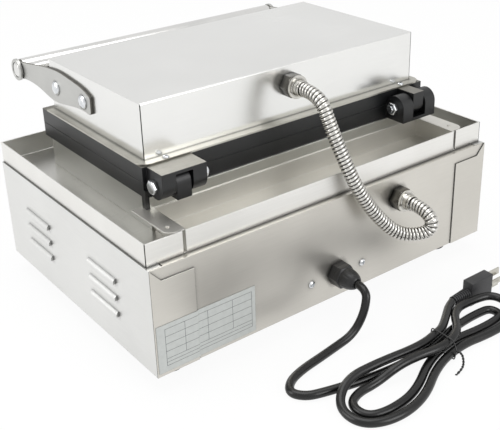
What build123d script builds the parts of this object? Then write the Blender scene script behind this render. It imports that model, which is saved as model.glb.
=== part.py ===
from build123d import *
from math import cos, pi, radians, sin, sqrt, tan
import os

os.makedirs("parts", exist_ok=True)

# Frame: +X is the right-hand side seen from the front, +Y is the back and +Z is up. The feet stand on Z = 0.

# Housing
housing_width = 380.0
housing_front = -141.0
housing_back = 127.0
foot_height = 18.0
housing_height = 97.0
sheet = 1.0
fit_gap = 0.2
wrap_width = 40.0
wrap_drop = 11.0
wrap_mitre = 10.0
return_flange = 12.0
tray_lip = 10.0

# Deck, pedestal and trough
rim_height = 20.0
rim_inset = 1.5
rim_setback = 6.7
corner_gap = 3.0
pedestal_half = 153.3
pedestal_front = -102.0
pedestal_back = 72.0
pedestal_height = 30.0
trough_inset = 1.8
trough_flange = 15.5
trough_flange_reach = 8.0

# Moulds
mould_overhang = 3.7
mould_front = -107.6
mould_back = 70.25
mould_thick = 13.0
parting_gap = 0.4
cavity_side = 138.0
cavity_gap = 12.0
cavity_depth = 8.0
stud_count = 5
stud_base = 17.0
stud_height = 4.0

# Hinges
pin_radius = 4.0
pin_play = 0.05
pin_setback = 11.5
lug_radius = 11.3
hinge_inset = 25.0
fork_width = 42.0
slot_width = 16.0
tongue_width = 13.6
tongue_radius = 9.6
tongue_gap = 0.5
bolt_flats = 13.0
bolt_head = 5.3
nut_height = 6.5
fork_play = 0.3

# Lid
flange_thick = 1.5
flange_margin = 7.5
lid_front = -96.8
lid_back = 61.7
lid_top = 220.0
lid_edge = 1.4
arm_thick = 2.5
bar_radius = 9.75
bar_wall = 1.5
bar_reach = 65.2
bar_drop = 26.0
cap_radius = 10.5
cap_thick = 3.0

# Heating
element_radius = 4.0
clamp_thick = 3.0
board_thick = 6.0

# Controls on the front
knob_radius = 19.0
knob_depth = 20.0
knob_shaft_radius = 3.0
control_margin = 65.0
control_pitch = 65.0
control_drop = 49.0

# Conduit and mains lead
hose_crest = 6.3
hose_root = 5.3
hose_bore = 4.2
hose_pitch = 3.3
lid_fitting_z = 202.0
base_fitting_x = -73.0
base_fitting_z = 93.5
fitting_flats = 19.0
ferrule_radius = 7.2
gland_z = 42.0
gland_flats = 20.0
gland_reach = 26.0
cord_radius = 3.75

half = housing_width / 2
housing_top = foot_height + housing_height
wrap_top = housing_top - wrap_drop
deck_z = housing_top
floor_z = deck_z + sheet
rim_half = half - rim_inset
rim_back = housing_back - rim_setback
rim_top = deck_z + rim_height
mould_half = pedestal_half + mould_overhang
lid_half = mould_half - flange_margin
trough_half = pedestal_half - trough_inset
trough_flange_front = pedestal_back - trough_flange_reach
pedestal_top = deck_z + pedestal_height
parting_z = pedestal_top + mould_thick
mould_top = parting_z + mould_thick
flange_top = mould_top + flange_thick
pin_y = mould_back + pin_setback
back_panel_y = housing_back - sheet
mould_mid_y = (mould_front + mould_back) / 2
bar_y = lid_front - bar_reach
bar_z = lid_top - bar_drop
control_z = housing_top - control_drop
timer_x = half - control_margin
thermostat_x = timer_x - control_pitch
switch_x = -timer_x
lamp_x = switch_x + control_pitch
hinge_place = mould_half - hinge_inset
pins = [-hinge_place, hinge_place]


def box_between(x, y, z):
    """A block between pairs of limits, for a context that is open."""
    with Locations(((x[0] + x[1]) / 2, (y[0] + y[1]) / 2, (z[0] + z[1]) / 2)):
        return Box(x[1] - x[0], y[1] - y[0], z[1] - z[0])


def cut_between(x, y, z):
    """Removes a block between pairs of limits from the open part."""
    with Locations(((x[0] + x[1]) / 2, (y[0] + y[1]) / 2, (z[0] + z[1]) / 2)):
        return Box(x[1] - x[0], y[1] - y[0], z[1] - z[0], mode=Mode.SUBTRACT)


def along_x(x, y, z):
    """A plane square to X, whose drawing axes are Y and Z."""
    return Plane(origin=(x, y, z), x_dir=(0, 1, 0), z_dir=(1, 0, 0))


def facing_back(x, y, z):
    """A plane square to Y that looks backwards."""
    return Plane(origin=(x, y, z), x_dir=(-1, 0, 0), z_dir=(0, 1, 0))


def facing_front(x, y, z):
    """A plane square to Y that looks forwards."""
    return Plane(origin=(x, y, z), x_dir=(1, 0, 0), z_dir=(0, -1, 0))


def save(piece, name):
    """Labels a finished piece and writes its file."""
    piece.label = name
    export_step(piece, f"parts/{name}.step")


# Side panels, each folded round the rear corner, with two columns of three pressed louvres
louvre_length = 45.0
louvre_rise = 2.6
louvre_height = 5.0
louvre_fronts = [housing_front + 47.0, housing_back - 101.0]
louvre_columns = [(y, y + louvre_length) for y in louvre_fronts]
louvre_top_z = housing_top - 33.5
louvre_pitch = 15.7
louvre_rows = 3


def make_side_panel(side, name):
    outer = side * half
    inner = side * (half - sheet)
    xs = sorted((outer, inner))
    with BuildPart() as panel:
        box_between(xs, (housing_front, housing_back), (foot_height, housing_top))
        box_between(
            sorted((inner, side * (half - return_flange))),
            (housing_front + sheet, back_panel_y - sheet),
            (housing_top - sheet, housing_top),
        )
        with BuildSketch(facing_back(0, back_panel_y, 0)):
            with BuildLine():
                Polyline(
                    (-outer, foot_height),
                    (-outer, housing_top),
                    (-side * (half - wrap_mitre), wrap_top),
                    (-side * (half - wrap_width), wrap_top),
                    (-side * (half - wrap_width), foot_height),
                    close=True,
                )
            make_face()
        extrude(amount=sheet)
        for row in range(louvre_rows):
            z = louvre_top_z - row * louvre_pitch
            for y0, y1 in louvre_columns:
                top = z + louvre_height / 2
                foot = z - louvre_height / 2
                bulge = (outer + side * louvre_rise * cos(pi / 4), foot + louvre_height * sin(pi / 4))
                with BuildSketch(Plane.XZ.offset(-y0)):
                    with BuildLine():
                        Line((inner, top), (outer, top))
                        ThreePointArc((outer, top), bulge, (outer + side * louvre_rise, foot))
                        Line((outer + side * louvre_rise, foot), (inner, foot))
                        Line((inner, foot), (inner, top))
                    make_face()
                extrude(amount=-louvre_length)
                cut_between(
                    sorted((inner, outer + side * (louvre_rise - sheet))),
                    (y0 + sheet, y1 - sheet),
                    (foot, top - 1.4 * sheet),
                )
    save(panel.part, name)


make_side_panel(-1, "left_side_panel")
make_side_panel(1, "right_side_panel")

# Bottom tray with vent slots, its lip standing inside the panels
tray_x = half - sheet - fit_gap
tray_front = housing_front + sheet + fit_gap
tray_back = back_panel_y - sheet - fit_gap
vent_count = 9
vent_pitch = 14.0
vent_length = 60.0
vent_width = 4.0
with BuildPart() as bottom_plate:
    box_between((-tray_x, tray_x), (tray_front, tray_back), (foot_height, foot_height + tray_lip))
    offset(amount=-sheet, openings=bottom_plate.faces().sort_by(Axis.Z)[-1])
    with Locations((0, (tray_front + tray_back) / 2, foot_height)):
        with GridLocations(vent_pitch, 2 * vent_length, vent_count, 2):
            Box(vent_width, vent_length, 4 * sheet, mode=Mode.SUBTRACT)
save(bottom_plate.part, "bottom_plate")

# Front panel with the holes of the controls
switch_width = 19.0
switch_height = 27.0
shaft_hole = knob_shaft_radius + 1.0
lamp_radius = 4.0
lamp_pitch = 22.0
panel_holes_x = [thermostat_x, timer_x]
lamps_x = [lamp_x, lamp_x + lamp_pitch]
with BuildPart() as front_panel:
    box_between(
        (-half + sheet + fit_gap, half - sheet - fit_gap),
        (housing_front, housing_front + sheet),
        (foot_height, housing_top),
    )
    box_between(
        (-half + return_flange + sheet, half - return_flange - sheet),
        (housing_front + sheet, housing_front + return_flange),
        (housing_top - sheet, housing_top),
    )
    with BuildSketch(facing_front(0, housing_front, 0)):
        with Locations(*[(x, control_z) for x in panel_holes_x]):
            Circle(shaft_hole)
        with Locations(*[(x, control_z) for x in lamps_x]):
            Circle(lamp_radius)
        with Locations((switch_x, control_z)):
            Rectangle(switch_width, switch_height)
    extrude(amount=-2 * sheet, mode=Mode.SUBTRACT)
save(front_panel.part, "front_panel")

# Back panel with its ledge folded forward under the deck
gland_hole = 8.0
conduit_hole = 6.0
with BuildPart() as back_panel:
    box_between(
        (-half + sheet + fit_gap, half - sheet - fit_gap),
        (back_panel_y - sheet, back_panel_y),
        (foot_height, housing_top),
    )
    box_between(
        (-half + return_flange + sheet, half - return_flange - sheet),
        (back_panel_y - return_flange, back_panel_y - sheet),
        (housing_top - sheet, housing_top),
    )
    with BuildSketch(facing_back(0, back_panel_y, 0)):
        with Locations((0, gland_z)):
            Circle(gland_hole)
        with Locations((-base_fitting_x, base_fitting_z)):
            Circle(conduit_hole)
    extrude(amount=-2 * sheet, mode=Mode.SUBTRACT)
save(back_panel.part, "back_panel")

# Deck pan: a floor with an upstanding rim, open at the rear between two short returns
pan_hole_margin = 12.0
with BuildPart() as deck_pan:
    box_between((-rim_half, rim_half), (housing_front, rim_back), (deck_z, rim_top))
    cut_between(
        (-rim_half + sheet, rim_half - sheet),
        (housing_front + sheet, rim_back - sheet),
        (floor_z, rim_top),
    )
    cut_between(
        (-trough_half - corner_gap, trough_half + corner_gap),
        (rim_back - sheet, rim_back),
        (floor_z, rim_top),
    )
    cut_between(
        (-pedestal_half + pan_hole_margin, pedestal_half - pan_hole_margin),
        (pedestal_front + pan_hole_margin, pedestal_back - pan_hole_margin),
        (deck_z, floor_z),
    )
save(deck_pan.part, "deck_pan")

# Pedestal: a box on the pan that carries the lower mould round an open window
window_half = 138.0
window_front = mould_front + 22.0
window_back = mould_back - 20.0
with BuildPart() as pedestal_box:
    box_between((-pedestal_half, pedestal_half), (pedestal_front, pedestal_back), (floor_z, pedestal_top))
    offset(amount=-sheet, openings=pedestal_box.faces().sort_by(Axis.Z)[0])
    cut_between(
        (-window_half, window_half),
        (window_front, window_back),
        (pedestal_top - sheet, pedestal_top),
    )
save(pedestal_box.part, "pedestal_box")

# Drip trough: a channel behind the pedestal, hung by its end flanges
trough_front = pedestal_back
trough_round = 8.0
trough_back_gap = 0.5
flange_back = rim_back - sheet - trough_back_gap
with BuildPart() as drip_trough:
    box_between((-trough_half, trough_half), (trough_front, rim_back), (floor_z, rim_top))
    offset(amount=-sheet, openings=drip_trough.faces().sort_by(Axis.Z)[-1])
    for side in (-1, 1):
        with BuildSketch(Plane.XY.offset(rim_top)) as tab:
            with BuildLine():
                Polyline(
                    (side * (trough_half - sheet), trough_front),
                    (side * (pedestal_half + fit_gap), trough_front),
                    (side * (pedestal_half + fit_gap), trough_flange_front),
                    (side * (trough_half + trough_flange), trough_flange_front),
                    (side * (trough_half + trough_flange), flange_back),
                    (side * (trough_half - sheet), flange_back),
                    close=True,
                )
            make_face()
            outer_corners = tab.vertices().sort_by(lambda v: abs(v.X))[-2:]
            fillet(outer_corners.sort_by(Axis.Y)[-1:], trough_round)
        extrude(amount=-sheet)
save(drip_trough.part, "drip_trough")

# Rivets of the trough's end flanges
rivet_radius = 1.6
rivet_height = 0.8
with BuildPart() as trough_rivets:
    with Locations(
        *[(side * (trough_half + trough_flange / 2), flange_back - 12.0, rim_top) for side in (-1, 1)]
    ):
        Cylinder(rivet_radius, rivet_height, align=(Align.CENTER, Align.CENTER, Align.MIN))
save(trough_rivets.part, "trough_rivets")

# Rubber feet and the screws that hold them
foot_radius = 12.5
foot_inset = 30.0
foot_setback = 32.0
foot_x = half - foot_inset
foot_front_y = housing_front + foot_setback
foot_back_y = housing_back - foot_setback
foot_places = [(x, y) for x in (-foot_x, foot_x) for y in (foot_front_y, foot_back_y)]
foot_recess_radius = 5.0
foot_recess_depth = 6.0
foot_screw_radius = 2.0
foot_head_height = 2.5
with BuildPart() as feet:
    with BuildSketch(Plane.XY.offset(foot_height)):
        with Locations(*foot_places):
            Circle(foot_radius)
    extrude(amount=-foot_height, taper=3)
    with BuildSketch(Plane.XY):
        with Locations(*foot_places):
            Circle(foot_recess_radius)
    extrude(amount=foot_recess_depth, mode=Mode.SUBTRACT)
    with BuildSketch(Plane.XY):
        with Locations(*foot_places):
            Circle(foot_screw_radius)
    extrude(amount=foot_height, mode=Mode.SUBTRACT)
save(feet.part, "feet")

with BuildPart() as foot_screws:
    with BuildSketch(Plane.XY.offset(foot_recess_depth)):
        with Locations(*foot_places):
            Circle(foot_recess_radius - 1)
    extrude(amount=-foot_head_height)
    with BuildSketch(Plane.XY.offset(foot_recess_depth)):
        with Locations(*foot_places):
            Circle(foot_screw_radius)
    extrude(amount=foot_height - foot_recess_depth)
save(foot_screws.part, "foot_screws")


# Moulds: two castings of one pattern, the upper one turned over about the left-right axis
leg_inner = pedestal_half + fit_gap
leg_front = mould_back - 4.0
leg_depth = 6.0
cavity_x = (cavity_side + cavity_gap) / 2
mould_edge = 1.2


def make_mould(up, name):
    """One casting, with its face towards the parting plane and its back away from it."""
    back_z = parting_z - up * mould_thick
    face_z = parting_z - up * parting_gap / 2
    bore = pin_radius if up > 0 else pin_radius + pin_play
    fork_side = -up
    bridge_z = parting_z - up * (tongue_radius + tongue_gap)
    with BuildPart() as mould:
        box_between((-mould_half, mould_half), (mould_front, mould_back), sorted((back_z, face_z)))
        upright = mould.edges().filter_by(Axis.Z)
        fillet(upright.sort_by(Axis.Y)[:2], mould_edge)
        with BuildSketch(Plane.XY.offset(face_z)):
            with Locations((-cavity_x, mould_mid_y), (cavity_x, mould_mid_y)):
                Rectangle(cavity_side, cavity_side)
        extrude(amount=-up * cavity_depth, taper=12, mode=Mode.SUBTRACT)
        with BuildSketch(Plane.XY.offset(face_z - up * cavity_depth)):
            for centre in (-cavity_x, cavity_x):
                with Locations((centre, mould_mid_y)):
                    with GridLocations(stud_pitch, stud_pitch, stud_count, stud_count):
                        Rectangle(stud_base, stud_base)
        extrude(amount=up * stud_height, taper=20)
        for place in pins:
            if place * fork_side > 0:
                reach = lug_radius
                spans = [
                    (place - fork_width / 2, place - slot_width / 2),
                    (place + slot_width / 2, place + fork_width / 2),
                ]
                box_between(
                    (place - slot_width / 2, place + slot_width / 2),
                    (mould_back, pin_y + lug_radius),
                    sorted((back_z, bridge_z)),
                )
            else:
                reach = tongue_radius
                spans = [(place - tongue_width / 2, place + tongue_width / 2)]
            for x0, x1 in spans:
                with BuildSketch(along_x(x0, 0, 0)):
                    with Locations((pin_y, parting_z)):
                        Circle(reach)
                    with Locations(((mould_back + pin_y + reach) / 2, (back_z + parting_z) / 2)):
                        Rectangle(pin_setback + reach, mould_thick)
                extrude(amount=x1 - x0)
            with BuildSketch(along_x(place - fork_width, 0, 0)):
                with Locations((pin_y, parting_z)):
                    Circle(bore)
            extrude(amount=2 * fork_width, mode=Mode.SUBTRACT)
        if up > 0:
            for side in (-1, 1):
                box_between(
                    sorted((side * leg_inner, side * mould_half)),
                    (leg_front, leg_front + leg_depth),
                    (rim_top, pedestal_top + mould_thick / 2),
                )
    save(mould.part, name)


stud_pitch = cavity_side / stud_count
make_mould(1, "lower_mould")
make_mould(-1, "upper_mould")

# Hinge bolts and nuts, heads outwards
shank_past_nut = 1.5
fork_outer = fork_width / 2 + fork_play
with BuildPart() as hinge_bolts:
    for side in (-1, 1):
        head_x = side * (hinge_place + fork_outer)
        plane = Plane(origin=(head_x, pin_y, parting_z), x_dir=(0, 1, 0), z_dir=(side, 0, 0))
        with BuildSketch(plane):
            RegularPolygon(bolt_flats / 2, 6, major_radius=False)
        extrude(amount=bolt_head)
        with BuildSketch(plane):
            Circle(pin_radius)
        extrude(amount=-(2 * fork_outer + nut_height + shank_past_nut))
save(hinge_bolts.part, "hinge_bolts")

with BuildPart() as hinge_nuts:
    for side in (-1, 1):
        nut_x = side * (hinge_place - fork_outer)
        plane = Plane(origin=(nut_x, pin_y, parting_z), x_dir=(0, 1, 0), z_dir=(-side, 0, 0))
        with BuildSketch(plane):
            RegularPolygon(bolt_flats / 2, 6, major_radius=False)
            Circle(pin_radius, mode=Mode.SUBTRACT)
        extrude(amount=nut_height)
save(hinge_nuts.part, "hinge_nuts")

# Lid flange plate between the mould and the cover
flange_back_y = mould_back + 0.25
flange_round = 10.0
with BuildPart() as lid_flange:
    box_between((-mould_half, mould_half), (lid_front, flange_back_y), (mould_top, flange_top))
    fillet(lid_flange.edges().filter_by(Axis.Z).sort_by(Axis.Y)[-2:], flange_round)
    cut_between((-window_half, window_half), (window_front, window_back), (mould_top, flange_top))
save(lid_flange.part, "lid_flange")

flange_screw_x = hinge_place + 0.5
flange_screw_y = mould_back - 3.2
flange_screw_radius = 2.6
flange_screw_rise = 1.6
with BuildPart() as flange_screws:
    with BuildSketch(Plane.XY.offset(flange_top)):
        with Locations((-flange_screw_x, flange_screw_y), (flange_screw_x, flange_screw_y)):
            Circle(flange_screw_radius)
    extrude(amount=flange_screw_rise, taper=25)
save(flange_screws.part, "flange_screws")

# Lid cover: a folded box, open below
lid_conduit_hole = 6.0
with BuildPart() as lid_cover:
    box_between((-lid_half, lid_half), (lid_front, lid_back), (flange_top, lid_top))
    fillet(lid_cover.faces().sort_by(Axis.Z)[-1].edges(), lid_edge)
    offset(amount=-sheet, openings=lid_cover.faces().sort_by(Axis.Z)[0])
    with BuildSketch(facing_back(0, lid_back, 0)):
        with Locations((0, lid_fitting_z)):
            Circle(lid_conduit_hole)
    extrude(amount=-3 * sheet, mode=Mode.SUBTRACT)
save(lid_cover.part, "lid_cover")

# Handle: two flat shaped arms on the lid's ends and a round tube between them
arm_screw_offsets = [(80.2, 2.0), (130.7, 2.6)]
arm_screw_radius = 6.2
arm_screw_rise = 3.0
nose_radius = 9.0
nose_shoulder = 3.0
upper_edge = [(35.4, 12.8), (64.2, 17.1), (87.7, 18.6), (111.2, 16.9), (133.2, 13.7), (141.6, 10.7)]
tail_round = [(143.6, 9.2), (144.0, 7.0)]
tail_foot = [(143.4, -3.5), (142.2, -5.7), (140.0, -6.4)]
lower_edge = [(113.2, -6.9), (94.0, -10.0), (71.5, -11.9), (47.0, -7.8), (26.1, -6.0)]


def from_bar(offsets):
    """Places behind and above the middle of the handle's tube."""
    return [(bar_y + y, bar_z + z) for y, z in offsets]


def make_arm(side, name):
    nose_rise = sqrt(nose_radius**2 - nose_shoulder**2)
    nose_top = (bar_y + nose_shoulder, bar_z + nose_rise)
    nose_low = (bar_y + nose_shoulder, bar_z - nose_rise)
    plane = along_x(min(side * lid_half, side * (lid_half + arm_thick)), 0, 0)
    with BuildPart() as arm:
        with BuildSketch(plane):
            with BuildLine():
                ThreePointArc(nose_low, (bar_y - nose_radius, bar_z), nose_top)
                Spline(nose_top, *from_bar(upper_edge))
                ThreePointArc(*from_bar(upper_edge[-1:] + tail_round))
                Line(*from_bar([tail_round[-1], tail_foot[0]]))
                ThreePointArc(*from_bar(tail_foot))
                Spline(*from_bar(tail_foot[-1:] + lower_edge), nose_low)
            make_face()
        extrude(amount=arm_thick)
    save(arm.part, name)


make_arm(-1, "left_handle_arm")
make_arm(1, "right_handle_arm")

with BuildPart() as handle_bar:
    with BuildSketch(along_x(-lid_half, 0, 0)):
        with Locations((bar_y, bar_z)):
            Circle(bar_radius)
            Circle(bar_radius - bar_wall, mode=Mode.SUBTRACT)
    extrude(amount=2 * lid_half)
save(handle_bar.part, "handle_bar")

plug_radius = 6.0
plug_recess = 1.5
with BuildPart() as bar_caps:
    for side in (-1, 1):
        face = side * (lid_half + arm_thick)
        plane = Plane(origin=(face, bar_y, bar_z), x_dir=(0, 1, 0), z_dir=(side, 0, 0))
        with BuildSketch(plane):
            Circle(cap_radius)
        extrude(amount=cap_thick)
        with BuildSketch(plane.offset(cap_thick)):
            Circle(plug_radius)
        extrude(amount=-plug_recess, mode=Mode.SUBTRACT)
save(bar_caps.part, "bar_caps")

with BuildPart() as arm_screws:
    for side in (-1, 1):
        face = side * (lid_half + arm_thick)
        plane = Plane(origin=(face, 0, 0), x_dir=(0, 1, 0), z_dir=(side, 0, 0))
        with BuildSketch(plane):
            with Locations(*[(y, side * z) for y, z in from_bar(arm_screw_offsets)]):
                Circle(arm_screw_radius)
        extrude(amount=arm_screw_rise, taper=35)
save(arm_screws.part, "arm_screws")

# Heating elements, the straps that press them on the castings, and the boards over them
element_gap = 0.1
run_half = 118.0
run_ys = [-62.0, -34.0, -3.0, 25.0]
run_bend = 12.0
strap_x = 85.0
strap_width = 18.0
strap_y = (window_front + 4.0, window_back - 4.0)


def make_element(mould_back_z, away, name):
    """A sheathed element lying against a casting's back, away from the parting plane."""
    z = mould_back_z + away * (element_radius + element_gap)
    points = []
    for i, y in enumerate(run_ys):
        ends = [(run_half, y, z), (-run_half, y, z)]
        points += ends if i % 2 == 0 else ends[::-1]
    with BuildPart() as element:
        with BuildLine() as path:
            FilletPolyline(*points, radius=run_bend)
        with BuildSketch(Plane(origin=path.wire() @ 0, z_dir=path.wire() % 0)):
            Circle(element_radius)
        sweep()
    save(element.part, name)


def make_clamp(mould_back_z, away, foot_z, name):
    """Two straps across the element, each with its ends bent down to what carries them."""
    near = mould_back_z + away * (2 * (element_radius + element_gap))
    far = near + away * clamp_thick
    with BuildPart() as clamp:
        for x in (-strap_x, strap_x):
            across = (x - strap_width / 2, x + strap_width / 2)
            box_between(across, strap_y, sorted((near, far)))
            box_between(across, (strap_y[0], strap_y[0] + clamp_thick), sorted((foot_z, far)))
            box_between(across, (strap_y[1] - clamp_thick, strap_y[1]), sorted((foot_z, far)))
    save(clamp.part, name)


board_inset = 5.0
board_top = floor_z + board_thick
make_element(pedestal_top, -1, "lower_element")
make_clamp(pedestal_top, -1, board_top, "lower_element_clamp")
make_element(mould_top, 1, "upper_element")
make_clamp(mould_top, 1, mould_top, "upper_element_clamp")

capillary_x = thermostat_x - 4.0
capillary_hole = 2.5
with BuildPart() as lower_insulation:
    box_between(
        (-pedestal_half + board_inset, pedestal_half - board_inset),
        (pedestal_front + board_inset, pedestal_back - board_inset),
        (floor_z, board_top),
    )
    with Locations((capillary_x, mould_mid_y, floor_z + board_thick / 2)):
        Cylinder(capillary_hole, 2 * board_thick, mode=Mode.SUBTRACT)
save(lower_insulation.part, "lower_insulation")

upper_board_z = mould_top + 2 * (element_radius + element_gap) + clamp_thick
with BuildPart() as upper_insulation:
    box_between(
        (-window_half, window_half),
        (window_front, window_back),
        (upper_board_z, upper_board_z + board_thick),
    )
save(upper_insulation.part, "upper_insulation")

# Thermostat with its bulb under the lower mould, and the timer
body_side = 36.0
body_depth = 26.0
shaft_depth = 12.0
knob_gap = 1.5
shaft_in_knob = 12.0


def make_control(x, name):
    with BuildPart() as body:
        box_between(
            (x - body_side / 2, x + body_side / 2),
            (housing_front + sheet, housing_front + sheet + body_depth),
            (control_z - body_side / 2, control_z + body_side / 2),
        )
        fillet(body.edges().filter_by(Axis.Y), 3.0)
        with BuildSketch(facing_front(x, housing_front + sheet, control_z)):
            Circle(knob_shaft_radius + pin_play)
        extrude(amount=-shaft_depth, mode=Mode.SUBTRACT)
    save(body.part, name)


def make_shaft(x, name):
    shaft_end = housing_front - knob_gap - shaft_in_knob
    shaft_start = housing_front + sheet + shaft_depth - 1.0
    with BuildPart() as shaft:
        with BuildSketch(facing_front(x, shaft_start, control_z)):
            Circle(knob_shaft_radius)
        extrude(amount=shaft_start - shaft_end)
    save(shaft.part, name)


skirt_depth = 7.0
skirt_reach = 3.42
flute_count = 24
flute_radius = 1.1
flute_inset = 3.8
flute_length = 12.0
pointer_width = 2.0
pointer_length = 11.4
pointer_inset = 9.5
pointer_depth = 1.0


def make_knob(x, name):
    base = housing_front - knob_gap
    with BuildPart() as knob:
        with BuildSketch(facing_front(x, base, control_z)):
            Circle(knob_radius)
        extrude(amount=skirt_depth)
        with BuildSketch(facing_front(x, base - skirt_depth, control_z)):
            Circle(knob_radius - skirt_reach)
        extrude(amount=knob_depth - skirt_depth, taper=4)
        with BuildSketch(facing_front(x, base - knob_depth, control_z)):
            with PolarLocations(knob_radius - flute_inset, flute_count):
                Circle(flute_radius)
        extrude(amount=-flute_length, mode=Mode.SUBTRACT)
        with BuildSketch(facing_front(x, base - knob_depth, control_z)):
            with Locations((0, knob_radius - pointer_inset)):
                Rectangle(pointer_width, pointer_length)
        extrude(amount=-pointer_depth, mode=Mode.SUBTRACT)
        with BuildSketch(facing_front(x, base, control_z)):
            Circle(knob_shaft_radius)
        extrude(amount=shaft_in_knob, mode=Mode.SUBTRACT)
    save(knob.part, name)


make_control(thermostat_x, "thermostat")
make_control(timer_x, "timer")
make_shaft(thermostat_x, "thermostat_shaft")
make_shaft(timer_x, "timer_shaft")
make_knob(thermostat_x, "thermostat_knob")
make_knob(timer_x, "timer_knob")

bulb_radius = 3.0
bulb_length = 90.0
capillary_radius = 1.0
bulb_z = pedestal_top - bulb_radius - element_gap
bulb_setback = 10.0
capillary_overlap = 2.0
capillary_knee = (-70.0, 80.0)
capillary_end_z = control_z + 6.0
thermostat_rear = housing_front + sheet + body_depth
with BuildPart() as thermostat_bulb:
    with BuildSketch(along_x(capillary_x - bulb_setback - bulb_length, 0, 0)):
        with Locations((mould_mid_y, bulb_z)):
            Circle(bulb_radius)
    extrude(amount=bulb_length)
    with BuildLine() as capillary:
        FilletPolyline(
            (capillary_x - bulb_setback - capillary_overlap, mould_mid_y, bulb_z),
            (capillary_x, mould_mid_y, bulb_z),
            (capillary_x, mould_mid_y, capillary_knee[1]),
            (thermostat_x, capillary_knee[0], capillary_end_z),
            (thermostat_x, thermostat_rear, capillary_end_z),
            radius=5.0,
        )
    with BuildSketch(Plane(origin=capillary.wire() @ 0, z_dir=capillary.wire() % 0)):
        Circle(capillary_radius)
    sweep(path=capillary.wire())
save(thermostat_bulb.part, "thermostat_bulb")

# Power switch with its rocker
switch_depth = 24.0
bezel_rim = 3.0
bezel_thick = 2.0
rocker_radius = 9.0
rocker_gap = 0.4
rocker_width = switch_width - 2 * 2.0
rocker_pivot_y = housing_front + 3.0
rocker_dip = 2.4
with BuildPart() as power_switch:
    box_between(
        (switch_x - switch_width / 2 + fit_gap, switch_x + switch_width / 2 - fit_gap),
        (housing_front, housing_front + switch_depth),
        (control_z - switch_height / 2 + fit_gap, control_z + switch_height / 2 - fit_gap),
    )
    box_between(
        (switch_x - switch_width / 2 - bezel_rim, switch_x + switch_width / 2 + bezel_rim),
        (housing_front - bezel_thick, housing_front),
        (control_z - switch_height / 2 - bezel_rim, control_z + switch_height / 2 + bezel_rim),
    )
    with BuildSketch(along_x(switch_x - rocker_width / 2 - rocker_gap, 0, 0)):
        with Locations((rocker_pivot_y, control_z)):
            Circle(rocker_radius + rocker_gap)
    extrude(amount=rocker_width + 2 * rocker_gap, mode=Mode.SUBTRACT)
save(power_switch.part, "power_switch")

with BuildPart() as power_rocker:
    with BuildSketch(along_x(switch_x - rocker_width / 2, 0, 0)):
        with Locations((rocker_pivot_y, control_z)):
            Circle(rocker_radius)
        with BuildLine():
            Polyline(
                (rocker_pivot_y - rocker_radius - 1, control_z + rocker_radius * 0.8),
                (rocker_pivot_y - rocker_radius + rocker_dip, control_z),
                (rocker_pivot_y - rocker_radius - 1, control_z - rocker_radius * 0.8),
                close=True,
            )
        make_face(mode=Mode.SUBTRACT)
    extrude(amount=rocker_width)
save(power_rocker.part, "power_rocker")

lamp_bezel = 5.5
lamp_body = 16.0
with BuildPart() as indicator_lamps:
    with BuildSketch(facing_front(0, housing_front, 0)):
        with Locations(*[(x, control_z) for x in lamps_x]):
            Circle(lamp_bezel)
    extrude(amount=3.0, taper=20)
    with BuildSketch(facing_front(0, housing_front, 0)):
        with Locations(*[(x, control_z) for x in lamps_x]):
            Circle(lamp_radius - 0.1)
    extrude(amount=-lamp_body)
save(indicator_lamps.part, "indicator_lamps")

# Terminal block and earth stud on the tray
tray_floor = foot_height + sheet
block_x = (-45.0, 5.0)
block_y = (76.0, 92.0)
block_height = 16.0
pole_count = 4
pole_pitch = 12.0
pole_radius = 2.6
pole_depth = 5.0
pole_screw_radius = 2.4
pole_screw_height = 3.0
block_centre = ((block_x[0] + block_x[1]) / 2, (block_y[0] + block_y[1]) / 2)
block_top = tray_floor + block_height
with BuildPart() as terminal_block:
    box_between(block_x, block_y, (tray_floor, block_top))
    with Locations((*block_centre, block_top)):
        with GridLocations(pole_pitch, 1, pole_count, 1):
            Cylinder(pole_radius, 2 * pole_depth, mode=Mode.SUBTRACT)
save(terminal_block.part, "terminal_block")

with BuildPart() as terminal_screws:
    with Locations((*block_centre, block_top - pole_depth)):
        with GridLocations(pole_pitch, 1, pole_count, 1):
            Cylinder(pole_screw_radius, pole_screw_height, align=(Align.CENTER, Align.CENTER, Align.MIN))
save(terminal_screws.part, "terminal_screws")

earth_place = (60.0, 84.0)
earth_nut_flats = 8.0
earth_nut_height = 4.0
earth_stud_radius = 2.5
earth_stud_height = 14.0
with BuildPart() as earth_stud:
    with BuildSketch(Plane.XY.offset(tray_floor)):
        with Locations(earth_place):
            RegularPolygon(earth_nut_flats / 2, 6, major_radius=False)
    extrude(amount=earth_nut_height)
    with BuildSketch(Plane.XY.offset(tray_floor)):
        with Locations(earth_place):
            Circle(earth_stud_radius)
    extrude(amount=earth_stud_height)
save(earth_stud.part, "earth_stud")

# Blank rating plate, stepped over the edge of the folded wrap
plate_x = (half - 98.0, half - 1.6)
plate_z = (foot_height + 3.0, foot_height + 46.5)
plate_thick = 0.3
plate_step = 1.2
wrap_x = half - wrap_width
with BuildPart() as rating_plate:
    with BuildSketch(Plane.XY.offset(plate_z[0])):
        with BuildLine():
            Polyline(
                (plate_x[0], back_panel_y),
                (wrap_x, back_panel_y),
                (wrap_x, housing_back),
                (plate_x[1], housing_back),
                (plate_x[1], housing_back + plate_thick),
                (wrap_x - plate_thick, housing_back + plate_thick),
                (wrap_x - plate_thick - plate_step, back_panel_y + plate_thick),
                (plate_x[0], back_panel_y + plate_thick),
                close=True,
            )
        make_face()
    extrude(amount=plate_z[1] - plate_z[0])
save(rating_plate.part, "rating_plate")

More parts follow.
